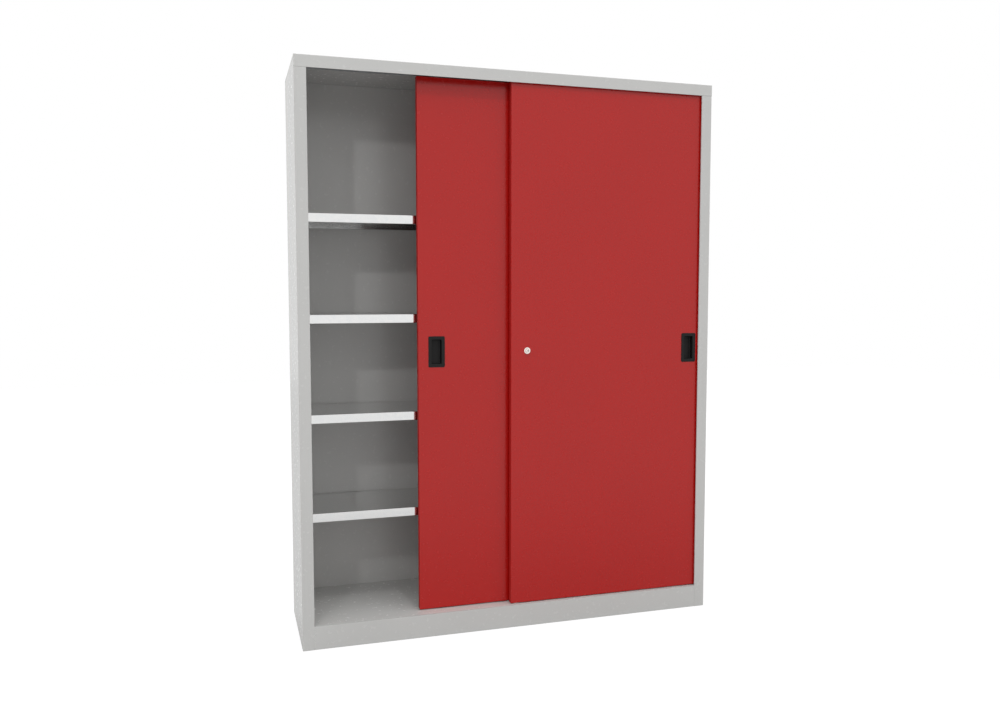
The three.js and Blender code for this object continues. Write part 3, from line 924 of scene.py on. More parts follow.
# Moulded rubber is dark grey and dull all over, with no clear highlight.
RUBBER = Moulding(
    "moulded black rubber", Slot.RUBBER, "202021", worn="262627", roughness=0.8, grain=0.6 * MM, shine=0.3
)


def new_object(name: str, surface: Surface) -> bpy.types.Object:
    """Makes an object of a surface, with the points that lie together merged.

    Args:
        name: the object's name.
        surface: its points and faces.

    Returns:
        The object, linked to the scene.
    """
    mesh = bpy.data.meshes.new(name)
    mesh.from_pydata(surface.points.tolist(), [], surface.faces)
    work = bmesh.new()
    work.from_mesh(mesh)
    bmesh.ops.remove_doubles(work, verts=work.verts, dist=MERGE)
    work.to_mesh(mesh)
    work.free()
    piece = bpy.data.objects.new(name, mesh)
    bpy.context.scene.collection.objects.link(piece)
    return piece


def apply_modifier(piece: bpy.types.Object, kind: str, values: dict[str, object]) -> None:
    """Changes a piece's mesh by one modifier.

    Args:
        piece: the piece.
        kind: the modifier's type.
        values: what each of the modifier's properties is set to.
    """
    modifier = piece.modifiers.new(kind.lower(), kind)
    for key, value in values.items():
        setattr(modifier, key, value)
    graph = bpy.context.evaluated_depsgraph_get()
    mesh = bpy.data.meshes.new_from_object(piece.evaluated_get(graph))
    piece.modifiers.clear()
    piece.data = mesh


def cut_away(piece: bpy.types.Object, tools: Sequence[Surface]) -> None:
    """Cuts closed shapes out of a piece.

    Args:
        piece: the piece that is cut.
        tools: the closed shapes.
    """
    for number, tool in enumerate(tools):
        cutter = new_object(f"cutter_{number}", tool)
        apply_modifier(piece, "BOOLEAN", {"object": cutter, "operation": "DIFFERENCE", "solver": "EXACT"})
        bpy.data.objects.remove(cutter)


@dataclass
class Assembly(ABC):
    """A group of pieces that are made together."""

    made: list[bpy.types.Object] = field(default_factory=list, init=False)

    @abstractmethod
    def build(self) -> None:
        """Makes and dresses the group's pieces."""

    def add(
        self,
        node: str,
        surface: Surface,
        finish: Finish,
        gauge: float = 0.0,
        edge: float = 0.0,
        cuts: Sequence[Surface] = (),
        suffix: str = "sheet",
    ) -> None:
        """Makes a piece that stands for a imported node.

        The piece is shaded smooth between its sharp edges, with wide faces kept flat.

        Args:
            node: the node that the piece replaces.
            surface: the piece's outer side, or its whole skin.
            finish: the piece's finish.
            gauge: the sheet's thickness, laid on the inner side, or 0 for a whole skin.
            edge: how far the sharp edges are rounded.
            cuts: closed shapes that are cut out.
            suffix: what the piece's name adds to the node's.
        """
        piece = new_object(f"{node}_{suffix}", surface)
        if gauge:
            shell = {"thickness": gauge, "offset": -1, "use_even_offset": True, "use_quality_normals": True}
            apply_modifier(piece, "SOLIDIFY", shell)
        cut_away(piece, cuts)
        if edge:
            limit = {"limit_method": "ANGLE", "angle_limit": EDGE_FROM}
            apply_modifier(piece, "BEVEL", {"width": edge, "segments": EDGE_STEPS, **limit})
        piece.data.shade_smooth()
        piece.data.set_sharp_from_angle(angle=SHARP)
        apply_modifier(piece, "WEIGHTED_NORMAL", {"keep_sharp": True})
        piece.data.materials.clear()
        piece.data.materials.append(finish.material())
        body = frame["nodes"][node]["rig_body"]
        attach(piece, body)
        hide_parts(node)
        self.made.append(piece)
        LOG.info("%s: %d faces, %s", piece.name, len(piece.data.polygons), finish.name)

    def dress(self, node: str, finish: Finish) -> None:
        """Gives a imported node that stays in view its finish.

        Args:
            node: the node.
            finish: its finish.
        """
        carried = frame["nodes"][node]
        carried.data.materials.clear()
        carried.data.materials.append(finish.material())
        LOG.info("%s: as packed, %s", node, finish.name)


@dataclass
class Carcass(Assembly):
    """The fixed sheets: side panels with their posts, top, floor, rear panel and plinths."""

    gauge: float = 1.0 * MM
    bend: float = 2.0 * MM
    hem: float = 12.0 * MM
    hem_gap: float = 0.06 * MM  # what the sheet is drawn thinner by, so that the layers of a hem stay apart
    post_return: float = 5.0 * MM
    seam: float = 0.3 * MM
    rear_flange: float = 20.0 * MM
    foot_flange: float = 20.0 * MM
    top_flange: float = 14.0 * MM
    cap_rear_flange: float = 30.0 * MM
    plinth_flange: float = 16.0 * MM
    rear_lines: tuple[int, int] = (49, 61)
    rear_unevenness: float = 0.2 * MM
    rear_waves: tuple[Wave, ...] = (Wave(1.0, 7.3, 1.9), Wave(1.0, -2.6, 4.1, 0.7))

    def build(self) -> None:
        """Makes the side panels, the top, the floor, the rear panel and the plinths."""
        for side in Side:
            self.side_panel(side)
        self.top_panel()
        self.floor_panel()
        self.rear_panel()
        self.front_plinth()
        self.dress("rear_plinth", GREY)

    def side_panel(self, side: Side) -> None:
        """Makes a side panel: one sheet from the post's return round the front edge to the rear flange.

        The profile lies level and runs straight up. Above the post and above the rear flange, where the top
        panel comes over it, only the side itself goes on.

        Args:
            side: the cabinet's side.
        """
        box = Box.of(f"{side.label}_side_panel")
        cap = Box.of("top_panel")
        inner, outer = box.span(side)
        front, back = box.low[1], box.high[1]
        post_top = cap.low[2] - self.seam
        flange_top = cap.high[2] - self.cap_rear_flange - self.seam
        return_back = front + self.post_return
        corners = [
            (inner + self.hem, return_back),
            (inner, return_back),
            (inner, front),
            (outer, front),
            (outer, back),
            (outer - self.rear_flange, back),
        ]
        profile = rounded(corners, [self.gauge, self.gauge, self.bend, self.bend])
        grid = run_along(Axis.Z, profile, [box.low[2], post_top, flange_top, box.high[2]])
        middles = cell_middles(grid)
        depth, level = middles[..., 1], middles[..., 2]
        on_side = (middles[..., 0] > outer - self.gauge) & (depth > front + self.bend)
        keep = (level < post_top) | (on_side & ((depth < back - self.bend) | (level < flange_top)))
        inside = outer - self.gauge
        start, end = front + self.bend, back - self.bend
        foot_inner = inside - self.foot_flange + self.gauge
        foot = strip(Axis.Z, box.low[2], (foot_inner, start), (inside, end), False)
        top = strip(Axis.Z, box.high[2], (inside - self.top_flange, start), (inside, end - self.seam), True)
        surface = Surface.of_grid(grid, keep).joined(foot, top).on(side)
        self.add(f"{side.label}_side_panel", surface, GREY, self.gauge - self.hem_gap)

    def top_panel(self) -> None:
        """Makes the top: a profile from the front flange's hem up, over the cabinet and down at the back."""
        box = Box.of("top_panel")
        front, back = box.low[1], box.high[1]
        hem_back = front + 2 * self.gauge
        corners = [
            (hem_back, box.low[2] + self.hem),
            (hem_back, box.low[2]),
            (front, box.low[2]),
            (front, box.high[2]),
            (back, box.high[2]),
            (back, box.high[2] - self.cap_rear_flange),
        ]
        profile = rounded(corners, [self.gauge, self.gauge, self.bend, self.bend])
        end = box.high[0]
        inside = end - 2 * self.gauge
        grid = run_along(Axis.X, profile, [-end, -inside, inside, end])
        middles = cell_middles(grid)
        in_hem = (middles[..., 2] < box.low[2] + self.hem) & (middles[..., 2] > box.low[2] + self.gauge)
        in_hem &= (middles[..., 1] > front + self.gauge) & (middles[..., 1] < hem_back + self.gauge)
        keep = ~in_hem | (np.abs(middles[..., 0]) < inside)
        self.add("top_panel", Surface.of_grid(grid, keep, flip=True), GREY, self.gauge - self.hem_gap)

    def floor_panel(self) -> None:
        """Makes the floor: flanges down at both sides and the back, and a front edge between the posts."""
        box = Box.of("floor_panel")
        plinth = Box.of("front_plinth")
        left, right = box.low[0], box.high[0]
        low, high = box.low[2], box.high[2]
        notch = box.low[1] + self.post_return + self.seam
        profile = rounded([(left, low), (left, high), (right, high), (right, low)], [self.bend, self.bend])
        sheet = Surface.of_grid(run_along(Axis.Y, profile, [notch, box.high[1]]))
        tongue = strip(Axis.Z, high, (plinth.low[0], box.low[1]), (plinth.high[0], notch), True)
        corners = (left + self.bend, low), (right - self.bend, high - self.gauge)
        back = strip(Axis.Y, box.high[1], *corners, True)
        self.add("floor_panel", sheet.joined(tongue, back), GREY, self.gauge)

    def rear_panel(self) -> None:
        """Makes the rear panel: a large sheet, as good as flat, with the long waves that such sheets have.

        Its face lies back by (1 + sine window * waviness) times the unevenness.
        """
        box = Box.of("rear_panel")
        x = np.linspace(box.low[0], box.high[0], self.rear_lines[0])[:, None]
        z = np.linspace(box.low[2], box.high[2], self.rear_lines[1])[None, :]
        fade = sine_window(x, box.low[0], box.size[0]) * sine_window(z, box.low[2], box.size[2])
        y = box.low[1] + self.rear_unevenness * (1 + fade * waviness(x, z, self.rear_waves))
        grid = np.stack(np.broadcast_arrays(x, y, z), axis=-1)
        self.add("rear_panel", Surface.of_grid(grid), GREY, box.size[1] - 2 * self.rear_unevenness)

    def front_plinth(self) -> None:
        """Makes the front plinth: a foot on the ground, the face, and a flange that carries the floor."""
        box = Box.of("front_plinth")
        front, low, top = box.low[1], box.low[2], box.high[2]
        corners = [(box.high[1], low), (front, low), (front, top), (front + self.plinth_flange, top)]
        grid = run_along(Axis.X, rounded(corners, [self.bend, self.bend]), [box.low[0], box.high[0]])
        self.add("front_plinth", Surface.of_grid(grid, flip=True), GREY, self.gauge)


@dataclass
class Shelving(Assembly):
    """Four shelves, and the slotted uprights and clips that carry them."""

    count: int = 4
    gauge: float = 1.0 * MM
    bend: float = 1.6 * MM
    lip: float = 12.0 * MM
    unevenness: float = -0.15 * MM
    upright_bend: float = 1.5 * MM
    slot_width: float = 5.0 * MM
    slot_height: float = 14.0 * MM
    slot_pitch: float = 56.5 * MM
    clip_gauge: float = 1.5 * MM
    clip_bend: float = 2.0 * MM
    clip_seam: float = 0.3 * MM
    hook_width: float = 4.0 * MM
    hook_drop: float = 9.0 * MM
    hook_height: float = 13.0 * MM

    def build(self) -> None:
        """Makes the shelves, the uprights and the clips."""
        numbers = range(1, self.count + 1)
        for number in numbers:
            self.shelf(f"shelf_{number}")
        for side in Side:
            for end in ("front", "rear"):
                self.upright(side, end)
                for number in numbers:
                    self.clip(side, end, number)

    def shelf(self, node: str) -> None:
        """Makes a shelf: a pan with its face up.

        Args:
            node: the shelf's node.
        """
        box = Box.of(node)
        pan = Pan(*box.size, self.bend, self.lip, unevenness=self.unevenness)
        plate = Plate.level((box.low[0], box.low[1], box.high[2]))
        self.add(node, pan.surface(plate), GALVANISED, self.gauge)

    def upright(self, side: Side, end: str) -> None:
        """Makes an upright: a channel with its back to the side panel and a row of slots down its face.

        The slots are cells left out of the grid. They lie at even steps from the lowest shelf's hooks.

        Args:
            side: the cabinet's side.
            end: front or rear.
        """
        node = f"{side.label}_{end}_upright"
        box = Box.of(node)
        middle, half, slot = box.middle[1], box.size[1] / 2, self.slot_width / 2
        wall = box.span(side)[1]
        face = wall - box.size[0]
        corners = [
            (wall, middle + half),
            (face, middle + half),
            (face, middle + slot),
            (face, middle - slot),
            (face, middle - half),
            (wall, middle - half),
        ]
        profile = rounded(corners, [self.upright_bend, 0, 0, self.upright_bend])
        first = Box.of(f"shelf_1_{side.label}_{end}_clip").high[2] - self.hook_drop
        low, high = box.low[2], box.high[2]
        below = math.floor((first - low) / self.slot_pitch)
        above = math.floor((high - first) / self.slot_pitch)
        centres = first + np.arange(-below, above + 1) * self.slot_pitch
        centres = centres[(centres - self.slot_height > low) & (centres + self.slot_height < high)]
        edges = np.stack([centres - self.slot_height / 2, centres + self.slot_height / 2], axis=1).ravel()
        lines = np.concatenate([[low], edges, [high]])
        grid = run_along(Axis.Z, profile, lines)
        in_column = np.abs(cell_middles(grid)[..., 1] - middle) < slot
        in_row = (np.arange(len(lines) - 1) % 2 == 1)[None, :]
        surface = Surface.of_grid(grid, ~(in_column & in_row)).on(side)
        self.add(node, surface, GALVANISED, self.gauge, suffix="channel")

    def clip(self, side: Side, end: str, number: int) -> None:
        """Makes a clip: a ledge under the shelf, a plate down the upright and a hook through the slot.

        Args:
            side: the cabinet's side.
            end: front or rear.
            number: the shelf's number, from 1 at the bottom.
        """
        node = f"shelf_{number}_{side.label}_{end}_clip"
        box = Box.of(node)
        face = Box.of(f"{side.label}_{end}_upright").span(side)[0] - self.clip_seam
        tip, hook_end = box.span(side)
        top = box.high[2]
        ledge = rounded([(tip, top), (face, top), (face, box.low[2])], [self.clip_bend])
        body = Surface.of_grid(run_along(Axis.Y, ledge, [box.low[1], box.high[1]]))
        centre, half = top - self.hook_drop, self.hook_height / 2
        corners = [(face, centre + half), (hook_end, centre + half), (hook_end, centre - half)]
        hook_lines = [box.middle[1] - self.hook_width / 2, box.middle[1] + self.hook_width / 2]
        hook = Surface.of_grid(run_along(Axis.Y, rounded(corners, [self.clip_bend]), hook_lines))
        self.add(node, body.joined(hook).on(side), ZINC, self.clip_gauge, suffix="strip")


@dataclass(frozen=True)
class FlushPull:
    """A moulded finger pull: a rolled rim on the door's face round an open tub."""

    box: Box
    face: float
    rim: float = 11.5 * MM
    wall: float = 1.6 * MM
    corner: float = 5.0 * MM
    outer_roll: float = 1.0 * MM
    inner_roll: float = 1.4 * MM
    rim_fall: float = 0.15 * MM
    shoulder: float = 0.4 * MM
    fillet: float = 3.0 * MM
    draft: float = 0.8 * MM
    seam: float = 0.3 * MM

    def surface(self) -> Surface:
        """Works out the skin: the recess's floor, wall and rim, and back round the outside of the tub.

        Returns:
            The closed skin, facing outwards.
        """
        half = (self.box.size[0] / 2, self.box.size[2] / 2)
        proud = self.box.low[1] - self.face
        back = self.box.high[1] - self.face
        floor = back - self.wall
        corners = [
            (half[0], floor),
            (self.rim + self.draft, floor),
            (self.rim, proud),
            (0, proud + self.rim_fall),
            (0, -self.seam),
            (self.rim - self.wall, -self.seam),
            (self.rim - self.wall + self.draft, back),
            (half[0], back),
        ]
        radii = [self.fillet, self.inner_roll, self.outer_roll, 0, self.shoulder, self.fillet]
        path = rounded(corners, radii)
        rings = np.column_stack([path, self.corner_radii(path[:, 0], half[0])])
        plate = Plate.upright((self.box.middle[0], self.face, self.box.middle[2]))
        return carried_round(plate, half, rings)

    def corner_radii(self, insets: np.ndarray, middle: float) -> np.ndarray:
        """The corner radius at each inset: the rim's outside, easing to the tub's, and none at the middle.

        Args:
            insets: how far inside the rim's outer edge.
            middle: the inset of the middle line.

        Returns:
            The radii.
        """
        tub_corner = self.corner - self.wall
        eased = self.corner + (tub_corner - self.corner) * np.clip(insets / self.rim, 0, 1)
        return np.maximum(0.0, np.minimum(eased, middle - insets))


@dataclass
class SlidingDoor(Assembly):
    """A door: a folded pan with its pull, and what it carries inside and on top."""

    name: str
    gauge: float = 1.0 * MM
    bend: float = 1.6 * MM
    lip: float = 15.0 * MM
    groove: float = 6.0 * MM
    groove_inset: float = 2.0 * MM
    hanger_width: float = 36.0 * MM
    hanger_gauge: float = 3.0 * MM
    slot_margin: float = 0.5 * MM
    hole_margin: float = 0.3 * MM
    window_margin: float = 0.5 * MM
    overrun: float = 2.0 * MM  # how far a cutting shape goes past the sheet
    unevenness: float = 0.12 * MM
    # The rollers. The axle and the rivet go by radius.
    wheel_gap: float = 4.0 * MM
    axle: float = 3.0 * MM
    rivet: float = 4.2 * MM
    rivet_chamfer: float = 0.6 * MM
    rivet_edge: float = 0.5 * MM
    dish: float = 1.2 * MM
    # The tread's edges: how far inside the wheel's radius, and how far from the side that the edge lies on.
    tread_outside: Steps = (
        (2.2 * MM, 1.2 * MM),
        (1.9 * MM, 0.2 * MM),
        (0.8 * MM, 0.1 * MM),
        (0.1 * MM, 0.9 * MM),
    )
    tread_inside: Steps = ((0.1 * MM, 0.7 * MM), (0.7 * MM, 0.0))

    def build(self) -> None:
        """Makes the pan, the pull and the rollers, and dresses the carriers inside."""
        self.panel()
        self.pull()
        for side in Side:
            self.roller(side)
            self.dress(f"{self.name}_door_{side.label}_hanger", ZINC)
        self.dress(f"{self.name}_door_stiffener", GALVANISED)
        self.dress(f"{self.name}_door_guide_channel", GALVANISED)

    def panel(self) -> None:
        """Makes the door's pan with its openings."""
        node = f"{self.name}_door_panel"
        box = Box.of(node)
        width, depth, height = box.size
        pan = Pan(width, height, depth, self.bend, self.lip, unevenness=self.unevenness)
        self.add(node, pan.surface(Plate.upright(box.low)), RED, self.gauge, cuts=self.openings(box))

    def openings(self, box: Box) -> list[Surface]:
        """The shapes that are cut out of the door's pan.

        They are the pull's window, hidden behind its rim, the groove along the lower edge for the floor
        guide, a slot in the upper edge for each hanger's plate and, in the front door, the hole for the
        lock's barrel.

        Args:
            box: the door's box.

        Returns:
            The closed shapes.
        """
        low, high, middle = box.low, box.high, box.middle[1]
        pull = Box.of(f"{self.name}_door_pull")
        tub = pull.size / 2 - FlushPull.rim + FlushPull.wall + self.window_margin
        start, end = pull.middle - tub, pull.middle + tub
        front, behind = low[1] - self.overrun, low[1] + 2 * self.overrun
        left, right = low[0] + self.groove_inset, high[0] - self.groove_inset
        under, over = low[2] - self.overrun, low[2] + 2 * self.gauge
        shapes = [
            bar((start[0], front, start[2]), (end[0], behind, end[2])),
            bar((left, middle - self.groove / 2, under), (right, middle + self.groove / 2, over)),
        ]
        wide, thick = self.hanger_width / 2 + self.slot_margin, self.hanger_gauge / 2 + self.slot_margin
        for side in Side:
            x, y, _ = Box.of(f"{self.name}_door_{side.label}_hanger").middle
            lower, upper = high[2] - 2 * self.gauge, high[2] + self.overrun
            shapes.append(bar((x - wide, y - thick, lower), (x + wide, y + thick, upper)))
        if self.name == "front":
            radius = PushLock.barrel + self.hole_margin
            centre = LOCK_BOX.middle * [1, 0, 1] + [0, low[1], 0]
            near, far = -self.overrun, 2 * self.overrun
            shapes.append(turned(Axis.Y, centre, [(0, near), (radius, near), (radius, far), (0, far)]))
        return shapes

    def pull(self) -> None:
        """Makes the door's pull."""
        node = f"{self.name}_door_pull"
        face = Box.of(f"{self.name}_door_panel").low[1]
        self.add(node, FlushPull(Box.of(node), face).surface(), BLACK_ABS, suffix="moulding")

    def roller(self, side: Side) -> None:
        """Makes a roller: two wheels with crowned treads and dished sides on a riveted axle.

        The profile of the first wheel is worked out from its outer side inwards, and the second mirrors it.

        Args:
            side: which of the door's two rollers.
        """
        node = f"{self.name}_door_{side.label}_roller"
        box = Box.of(node)
        radius, half, inner = box.size[2] / 2, box.size[1] / 2, self.wheel_gap / 2
        hub = [(0, -half), (self.rivet - self.rivet_chamfer, -half), (self.rivet, -half + self.rivet_edge)]
        outside = [(radius - inset, -half + depth) for inset, depth in self.tread_outside]
        crown = (radius, -(half + inner) / 2)
        inside = [(radius - inset, -inner - depth) for inset, depth in self.tread_inside]
        first = [*hub, (self.rivet, -half + self.dish), *outside, crown, *inside, (self.axle, -inner)]
        second = [(reach, -along) for reach, along in reversed(first)]
        self.add(node, turned(Axis.Y, box.middle, first + second), NYLON, suffix="wheels")


@dataclass
class PushLock(Assembly):
    """The lock: rosette and barrel, push plunger, key plug, nut and catch. Its round pieces go by radius."""

    sides: int = 64
    running_gap: float = 0.3 * MM
    rosette: float = 11.7 * MM
    rosette_depth: float = 2.3 * MM
    barrel: float = 9.5 * MM
    # The rosette's edges: how far outside the bore or inside the rim, and how far behind the front.
    bore_edge: Steps = ((0.0, 0.5 * MM), (0.4 * MM, 0.1 * MM), (1.0 * MM, 0.0))
    rim_edge: Steps = ((1.2 * MM, 0.35 * MM), (0.4 * MM, 0.75 * MM), (0.0, 1.4 * MM))
    thread_depth: float = 0.35 * MM
    thread_start: float = 1.5 * MM
    thread_step: float = 0.6 * MM  # from a crest to the next root
    thread_steps: int = 14
    tail_chamfer: float = 0.4 * MM
    tail_bore: float = 5.3 * MM
    tail_wall: float = 3.6 * MM
    plunger: float = 7.5 * MM
    # The plunger's front edge: how far inside its radius, and how far behind the front.
    plunger_edge: Steps = ((1.0 * MM, 0.0), (0.35 * MM, 0.2 * MM), (0.0, 0.9 * MM))
    plug_room: float = 18.6 * MM
    bore_chamfer: float = 0.3 * MM
    bolt: float = 5.0 * MM
    bolt_length: float = 14.9 * MM
    bolt_chamfer: float = 0.8 * MM
    plug: float = 4.5 * MM
    # The plug's front edge, as the plunger's.
    plug_edge: Steps = ((0.5 * MM, 0.0), (0.1 * MM, 0.12 * MM), (0.0, 0.5 * MM))
    key_width: float = 2.6 * MM
    key_height: float = 7.0 * MM
    key_depth: float = 9.0 * MM
    key_flare: float = 1.12  # how much wider the key slot is at the plug's face than inside
    key_lead: float = 0.25 * MM

    def build(self) -> None:
        """Makes the turned pieces and dresses the nut and the catch."""
        self.housing()
        self.plunger_sleeve()
        self.key_plug()
        self.dress("lock_nut", ZINC)
        self.dress("lock_catch", ZINC)

    def housing(self) -> None:
        """Makes the rosette, crowned and rolled at its edge, and the barrel behind it with its thread."""
        length = LOCK_BOX.size[1]
        bore, face = self.plunger + self.running_gap, self.rosette_depth
        front = [(bore + out, depth) for out, depth in self.bore_edge]
        rim = [(self.rosette - inset, depth) for inset, depth in self.rim_edge]
        flange = [(self.rosette, face), (self.barrel, face)]
        thread_front = face + self.thread_start
        thread = [
            (self.barrel - self.thread_depth * (step % 2), thread_front + step * self.thread_step)
            for step in range(self.thread_steps)
        ]
        wall = length - self.tail_wall
        tail = [(self.barrel - self.tail_chamfer, length), (self.tail_bore, length), (self.tail_bore, wall)]
        profile = [*front, *rim, *flange, *thread, *tail, (bore, wall), front[0]]
        surface = turned(Axis.Y, LOCK_BOX.front_middle, profile, self.sides)
        self.add("lock_housing", surface, NICKEL, suffix="turned")

    def plunger_sleeve(self) -> None:
        """Makes the plunger: a sleeve with a rolled front edge, and the short bolt at its back."""
        box = Box.of("lock_plunger")
        length = box.size[1]
        bore, shoulder = self.plug + self.running_gap, length - self.bolt_length
        profile = [
            (0, self.plug_room),
            (bore, self.plug_room),
            (bore, self.bore_chamfer),
            (bore + self.bore_chamfer, 0.0),
            *((self.plunger - inset, depth) for inset, depth in self.plunger_edge),
            (self.plunger, shoulder),
            (self.bolt, shoulder),
            (self.bolt, length - self.bolt_chamfer),
            (self.bolt - self.bolt_chamfer, length),
            (0, length),
        ]
        surface = turned(Axis.Y, box.front_middle, profile, self.sides)
        self.add("lock_plunger", surface, NICKEL, suffix="turned")

    def key_plug(self) -> None:
        """Makes the key plug: a disc whose rings go from the key slot's outline to a circle, and a cylinder.

        The slot's outline is the circle divided by the larger of |cos| / half width and |sin| / half height.
        """
        box = Box.of("lock_plug")
        corner = math.atan2(self.key_height, self.key_width)
        even = np.linspace(0, 2 * math.pi, self.sides + 1)[:-1]
        corners = [corner, math.pi - corner, math.pi + corner, 2 * math.pi - corner]
        angles = np.unique(np.concatenate([even, corners]))
        circle = np.stack([np.cos(angles), np.sin(angles)], 1)
        shares = np.abs(circle) * 2 / [self.key_width, self.key_height]
        slot = circle / np.max(shares, axis=1, keepdims=True)
        rings = [
            (slot * 0, self.key_depth),
            (slot, self.key_depth),
            (slot, self.key_lead),
            (slot * self.key_flare, 0.0),
            *((circle * (self.plug - inset), depth) for inset, depth in self.plug_edge),
            (circle * self.plug, box.size[1]),
            (circle * 0, box.size[1]),
        ]
        grid = np.stack([np.column_stack([flat, np.full(len(flat), depth)]) for flat, depth in rings])
        placed = Plate.upright(box.front_middle).place(np.concatenate([grid, grid[:, :1]], axis=1))
        self.add("lock_plug", Surface.of_grid(placed), NICKEL_WITH_PAINTED_KEYWAY_SHADE, suffix="turned")


@dataclass
class Runway(Assembly):
    """What the doors run on and against: the double track, the floor guide and the end buffers."""

    # The track. A lane's middle lies lane_room behind or in front of the track's side.
    wall: float = 1.5 * MM
    lane_room: float = 13.5 * MM
    slot: float = 6.0 * MM
    fold: float = 0.5 * MM
    # The floor guide.
    base: float = 1.9 * MM
    fin: float = 5.0 * MM
    fin_inset: float = 6.0 * MM
    fin_rounding: float = 0.8 * MM
    fin_steps: int = 4
    guide_edge: float = 0.4 * MM
    # The buffers. The button goes by radius.
    button: float = 7.0 * MM
    flange: float = 2.0 * MM
    flange_chamfer: float = 0.4 * MM
    button_foot: float = 0.3 * MM
    dome: float = 2.6 * MM
    dome_steps: int = 6

    def build(self) -> None:
        """Makes the track, the guide and the buffers."""
        self.track()
        self.guide()
        for side in Side:
            for lane in ("front", "rear"):
                self.buffer(side, f"{side.label}_{lane}_buffer")

    def track(self) -> None:
        """Makes the track: one section with two lanes, rounded at its folds, run across the cabinet."""
        box = Box.of("upper_track")
        front, back, low, high = box.low[1], box.high[1], box.low[2], box.high[2]
        lane, middle = front + self.lane_room, box.middle[1]
        half_slot, half_wall = self.slot / 2, self.wall / 2
        ledge, ceiling = low + self.wall, high - self.wall
        front_half = [
            (front, low),
            (lane - half_slot, low),
            (lane - half_slot, ledge),
            (front + self.wall, ledge),
            (front + self.wall, ceiling),
            (middle - half_wall, ceiling),
            (middle - half_wall, ledge),
            (lane + half_slot, ledge),
            (lane + half_slot, low),
        ]
        corners = [*both_halves(front_half, middle), (back, high), (front, high)]
        section = closed_outline(corners, self.fold)
        self.add("upper_track", extruded(Axis.X, section, box.low[0], box.high[0]), ZINC, suffix="section")

    def guide(self) -> None:
        """Makes the floor guide: a low base and two fins with rounded tops."""
        box = Box.of("floor_guide")
        front, low, high = box.low[1], box.low[2], box.high[2]
        step, fin = low + self.base, front + self.fin_inset
        front_half = [
            (front, low),
            (front, step),
            (fin, step),
            (fin, high),
            (fin + self.fin, high),
            (fin + self.fin, step),
        ]
        corners = both_halves(front_half, box.middle[1])
        section = closed_outline(corners, self.fin_rounding, self.fin_steps)
        surface = extruded(Axis.X, section, box.low[0], box.high[0])
        self.add("floor_guide", surface, NYLON, edge=self.guide_edge, suffix="moulding")

    def buffer(self, side: Side, node: str) -> None:
        """Makes a buffer: a flange against the side panel and a button with a domed end.

        Args:
            side: the cabinet's side.
            node: the buffer's node.
        """
        box = Box.of(node)
        length, base = box.size[0], box.size[2] / 2
        turn = np.linspace(0, math.pi / 2, self.dome_steps + 1)
        radii = self.button - self.dome * (1 - np.cos(turn))
        reaches = length - self.dome * (1 - np.sin(turn))
        profile = [
            (0, 0),
            (base, 0),
            (base, self.flange - self.flange_chamfer),
            (base - self.flange_chamfer, self.flange),
            (self.button, self.flange + self.button_foot),
            *zip(radii, reaches),
            (0, length),
        ]
        surface = turned(Axis.X, np.array([-box.span(side)[1], box.middle[1], box.middle[2]]), profile)
        self.add(node, surface.mirrored().on(side), RUBBER, suffix="button")


@dataclass(frozen=True)
class Lamp:
    """A round studio lamp near the cabinet: its place in metres, its power in watts and its radius."""

    name: str
    place: tuple[float, float, float]
    power: float
    radius: float

    def build(self) -> None:
        """Makes the lamp."""
        data = bpy.data.lights.new(self.name, "POINT")
        data.energy = self.power
        data.shadow_soft_size = self.radius
        lamp = bpy.data.objects.new(self.name, data)
        lamp.location = self.place
        lamp.visible_glossy = False
        bpy.context.scene.collection.objects.link(lamp)


@dataclass(frozen=True)
class Glow:
    """Soft light from one side of the room, in degrees left of straight ahead of the doors and degrees up.

    Its strength in a direction is the full strength times the cosine of the angle between the two, raised to
    the tightness, and 0 in the far half.
    """

    left: float
    up: float
    strength: float
    tightness: float = 8.0

    @property
    def towards(self) -> tuple[float, float, float]:
        """The direction of the glow's middle, of length 1."""
        left, up = math.radians(self.left), math.radians(self.up)
        return -math.sin(left) * math.cos(up), -math.cos(left) * math.cos(up), math.sin(up)


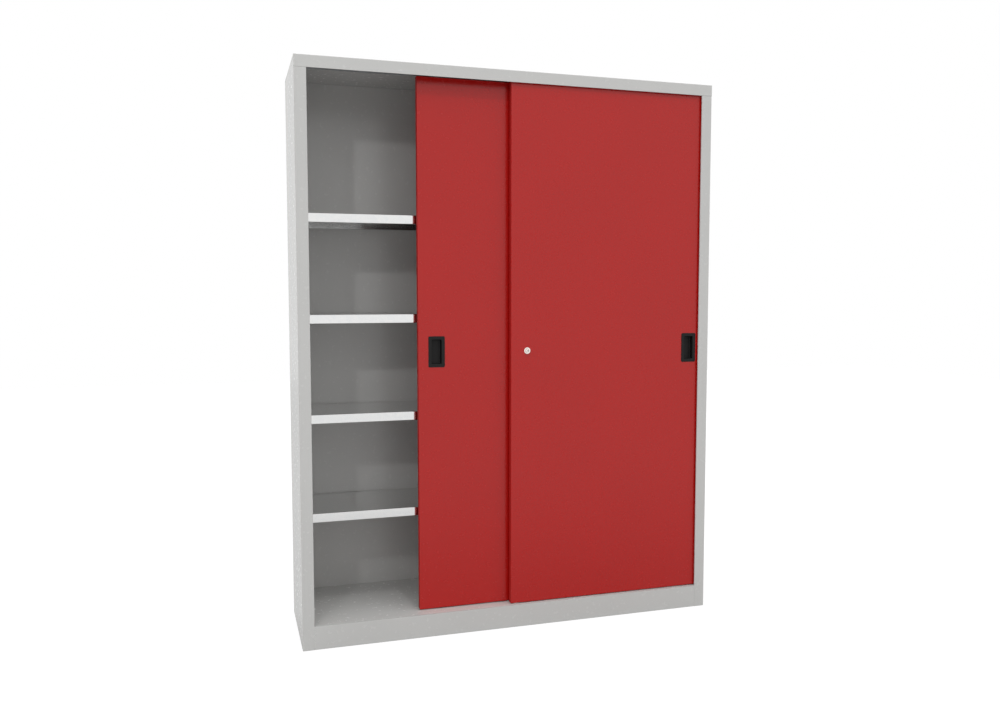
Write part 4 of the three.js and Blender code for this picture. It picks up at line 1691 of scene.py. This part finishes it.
@dataclass
class Studio:
    """The camera, the lamps, the pale surroundings and the floor."""

    eye: tuple[float, float, float] = (-0.9767, -3.161, 1.1942)
    turned_right: float = 17.144
    tilted_down: float = 4.159
    focal_pixels: float = 893.3
    frame_pixels: float = 1000.0
    film: float = 36.0
    sight: float = 100.0
    lamps: tuple[Lamp, ...] = (
        Lamp("key lamp", (-2.72, -4.1, 3.48), 86.0, 0.12),
        Lamp("high lamp", (0.04, -3.1, 5.35), 100.0, 0.12),
    )
    glows: tuple[Glow, ...] = (
        Glow(0.0, 90.0, 1.62, 1.0),
        Glow(0.0, 0.0, 0.2, 1.0),
        Glow(-30.0, 5.0, 0.3),
        Glow(90.0, 5.0, 0.55),
    )
    floor_colour: str = "b8b8b8"
    floor_seen: str = "8a8a8a"
    floor_glow: float = 0.8
    # Painted shade: how bright a reflection shows the ground near the doors and far in front, and where each
    # is along Y.
    floor_mirrored: Pair = (0.34, 0.61)
    floor_darkened: Pair = (-0.5, -2.6)
    # Painted light: what a reflection adds to the ground behind the doors, and from where to where along Y
    # that fades in.
    floor_behind: float = 0.2
    floor_behind_from: Pair = (-0.2, 0.2)
    floor_reach: float = 9.0
    floor_gap: float = 0.5 * MM

    def build(self) -> None:
        """Sets up the studio."""
        self.camera()
        for lamp in self.lamps:
            lamp.build()
        self.world()
        self.floor()
        bpy.context.scene.view_settings.view_transform = "Standard"

    def camera(self) -> None:
        """Places the camera at the photograph's point of view, with its field of view."""
        data = bpy.data.cameras.new("camera")
        data.sensor_fit = "HORIZONTAL"
        data.sensor_width = self.film
        data.lens = self.film * self.focal_pixels / self.frame_pixels
        data.clip_end = self.sight
        camera = bpy.data.objects.new("camera", data)
        camera.location = self.eye
        camera.rotation_euler = (math.radians(90 - self.tilted_down), 0, math.radians(-self.turned_right))
        bpy.context.scene.collection.objects.link(camera)
        bpy.context.scene.camera = camera

    def world(self) -> None:
        """Makes the surroundings: white to the eye and in reflections, and soft light by direction.

        The soft light from a direction is the sum of the strengths that the glows have there.
        """
        world = bpy.data.worlds.new("surroundings")
        bpy.context.scene.world = world
        nodes = Nodes.of(world)
        total: Socket | float = 0.0
        for glow in self.glows:
            values = {"operation": "DOT_PRODUCT", 0: nodes.point["Generated"], 1: glow.towards}
            facing = nodes.add("VectorMath", values).outputs["Value"]
            share = nodes.math("POWER", nodes.math("MAXIMUM", facing, 0.0), glow.tightness)
            total = nodes.math("MULTIPLY_ADD", share, glow.strength, total)
        soft = nodes.add("Background", {"Color": WHITE, "Strength": total})
        seen = nodes.add("Background", {"Color": WHITE, "Strength": 1.0})
        nodes.add("OutputWorld", {"Surface": nodes.seen_or_lighting(seen, soft)})

    def floor(self) -> None:
        """Makes the floor: pale and matt, lit up to white for the eye, with the object's faint shadow.

        A reflection shows it darker than the eye does, with painted shade deepening nearer the doors and
        painted light behind them.
        """
        reach = self.floor_reach
        level = CAD_BOUNDS[0][2] - self.floor_gap
        floor = new_object("studio_floor", strip(Axis.Z, level, (-reach, -reach), (reach, reach), True))
        material = bpy.data.materials.new("pale studio floor")
        nodes = Nodes.of(material)
        matt = nodes.add("BsdfDiffuse", {"Color": linear(self.floor_colour)})
        faint = nodes.add("BsdfDiffuse", {"Color": linear(self.floor_seen)})
        eye = nodes.add("LightPath").outputs["Is Camera Ray"]
        forward = nodes.add("SeparateXYZ", {"Vector": nodes.point["Object"]}).outputs["Y"]
        # Painted shade and light: in reflections the ground glows by its place along Y.
        ahead = nodes.between(forward, *self.floor_mirrored, self.floor_darkened)
        behind = nodes.between(forward, 0.0, self.floor_behind, self.floor_behind_from)
        values = {"data_type": "FLOAT", 0: eye, 2: nodes.math("ADD", ahead, behind), 3: self.floor_glow}
        glow = nodes.add("Emission", {"Strength": nodes.add("Mix", values).outputs[0]})
        lit = nodes.add("AddShader", {0: faint.outputs[0], 1: glow.outputs[0]})
        nodes.add("OutputMaterial", {"Surface": nodes.seen_or_lighting(lit, matt)})
        floor.data.materials.append(material)


def main() -> None:
    """Sets up the studio and builds each sub-assembly in order."""
    logging.basicConfig(level=logging.INFO, format="%(message)s")
    Studio().build()
    groups = [Carcass(), Shelving(), Runway(), SlidingDoor("front"), SlidingDoor("rear"), PushLock()]
    for group in groups:
        group.build()
        LOG.info("%s: %d pieces", type(group).__name__, len(group.made))


if __name__ == "__main__":
    main()
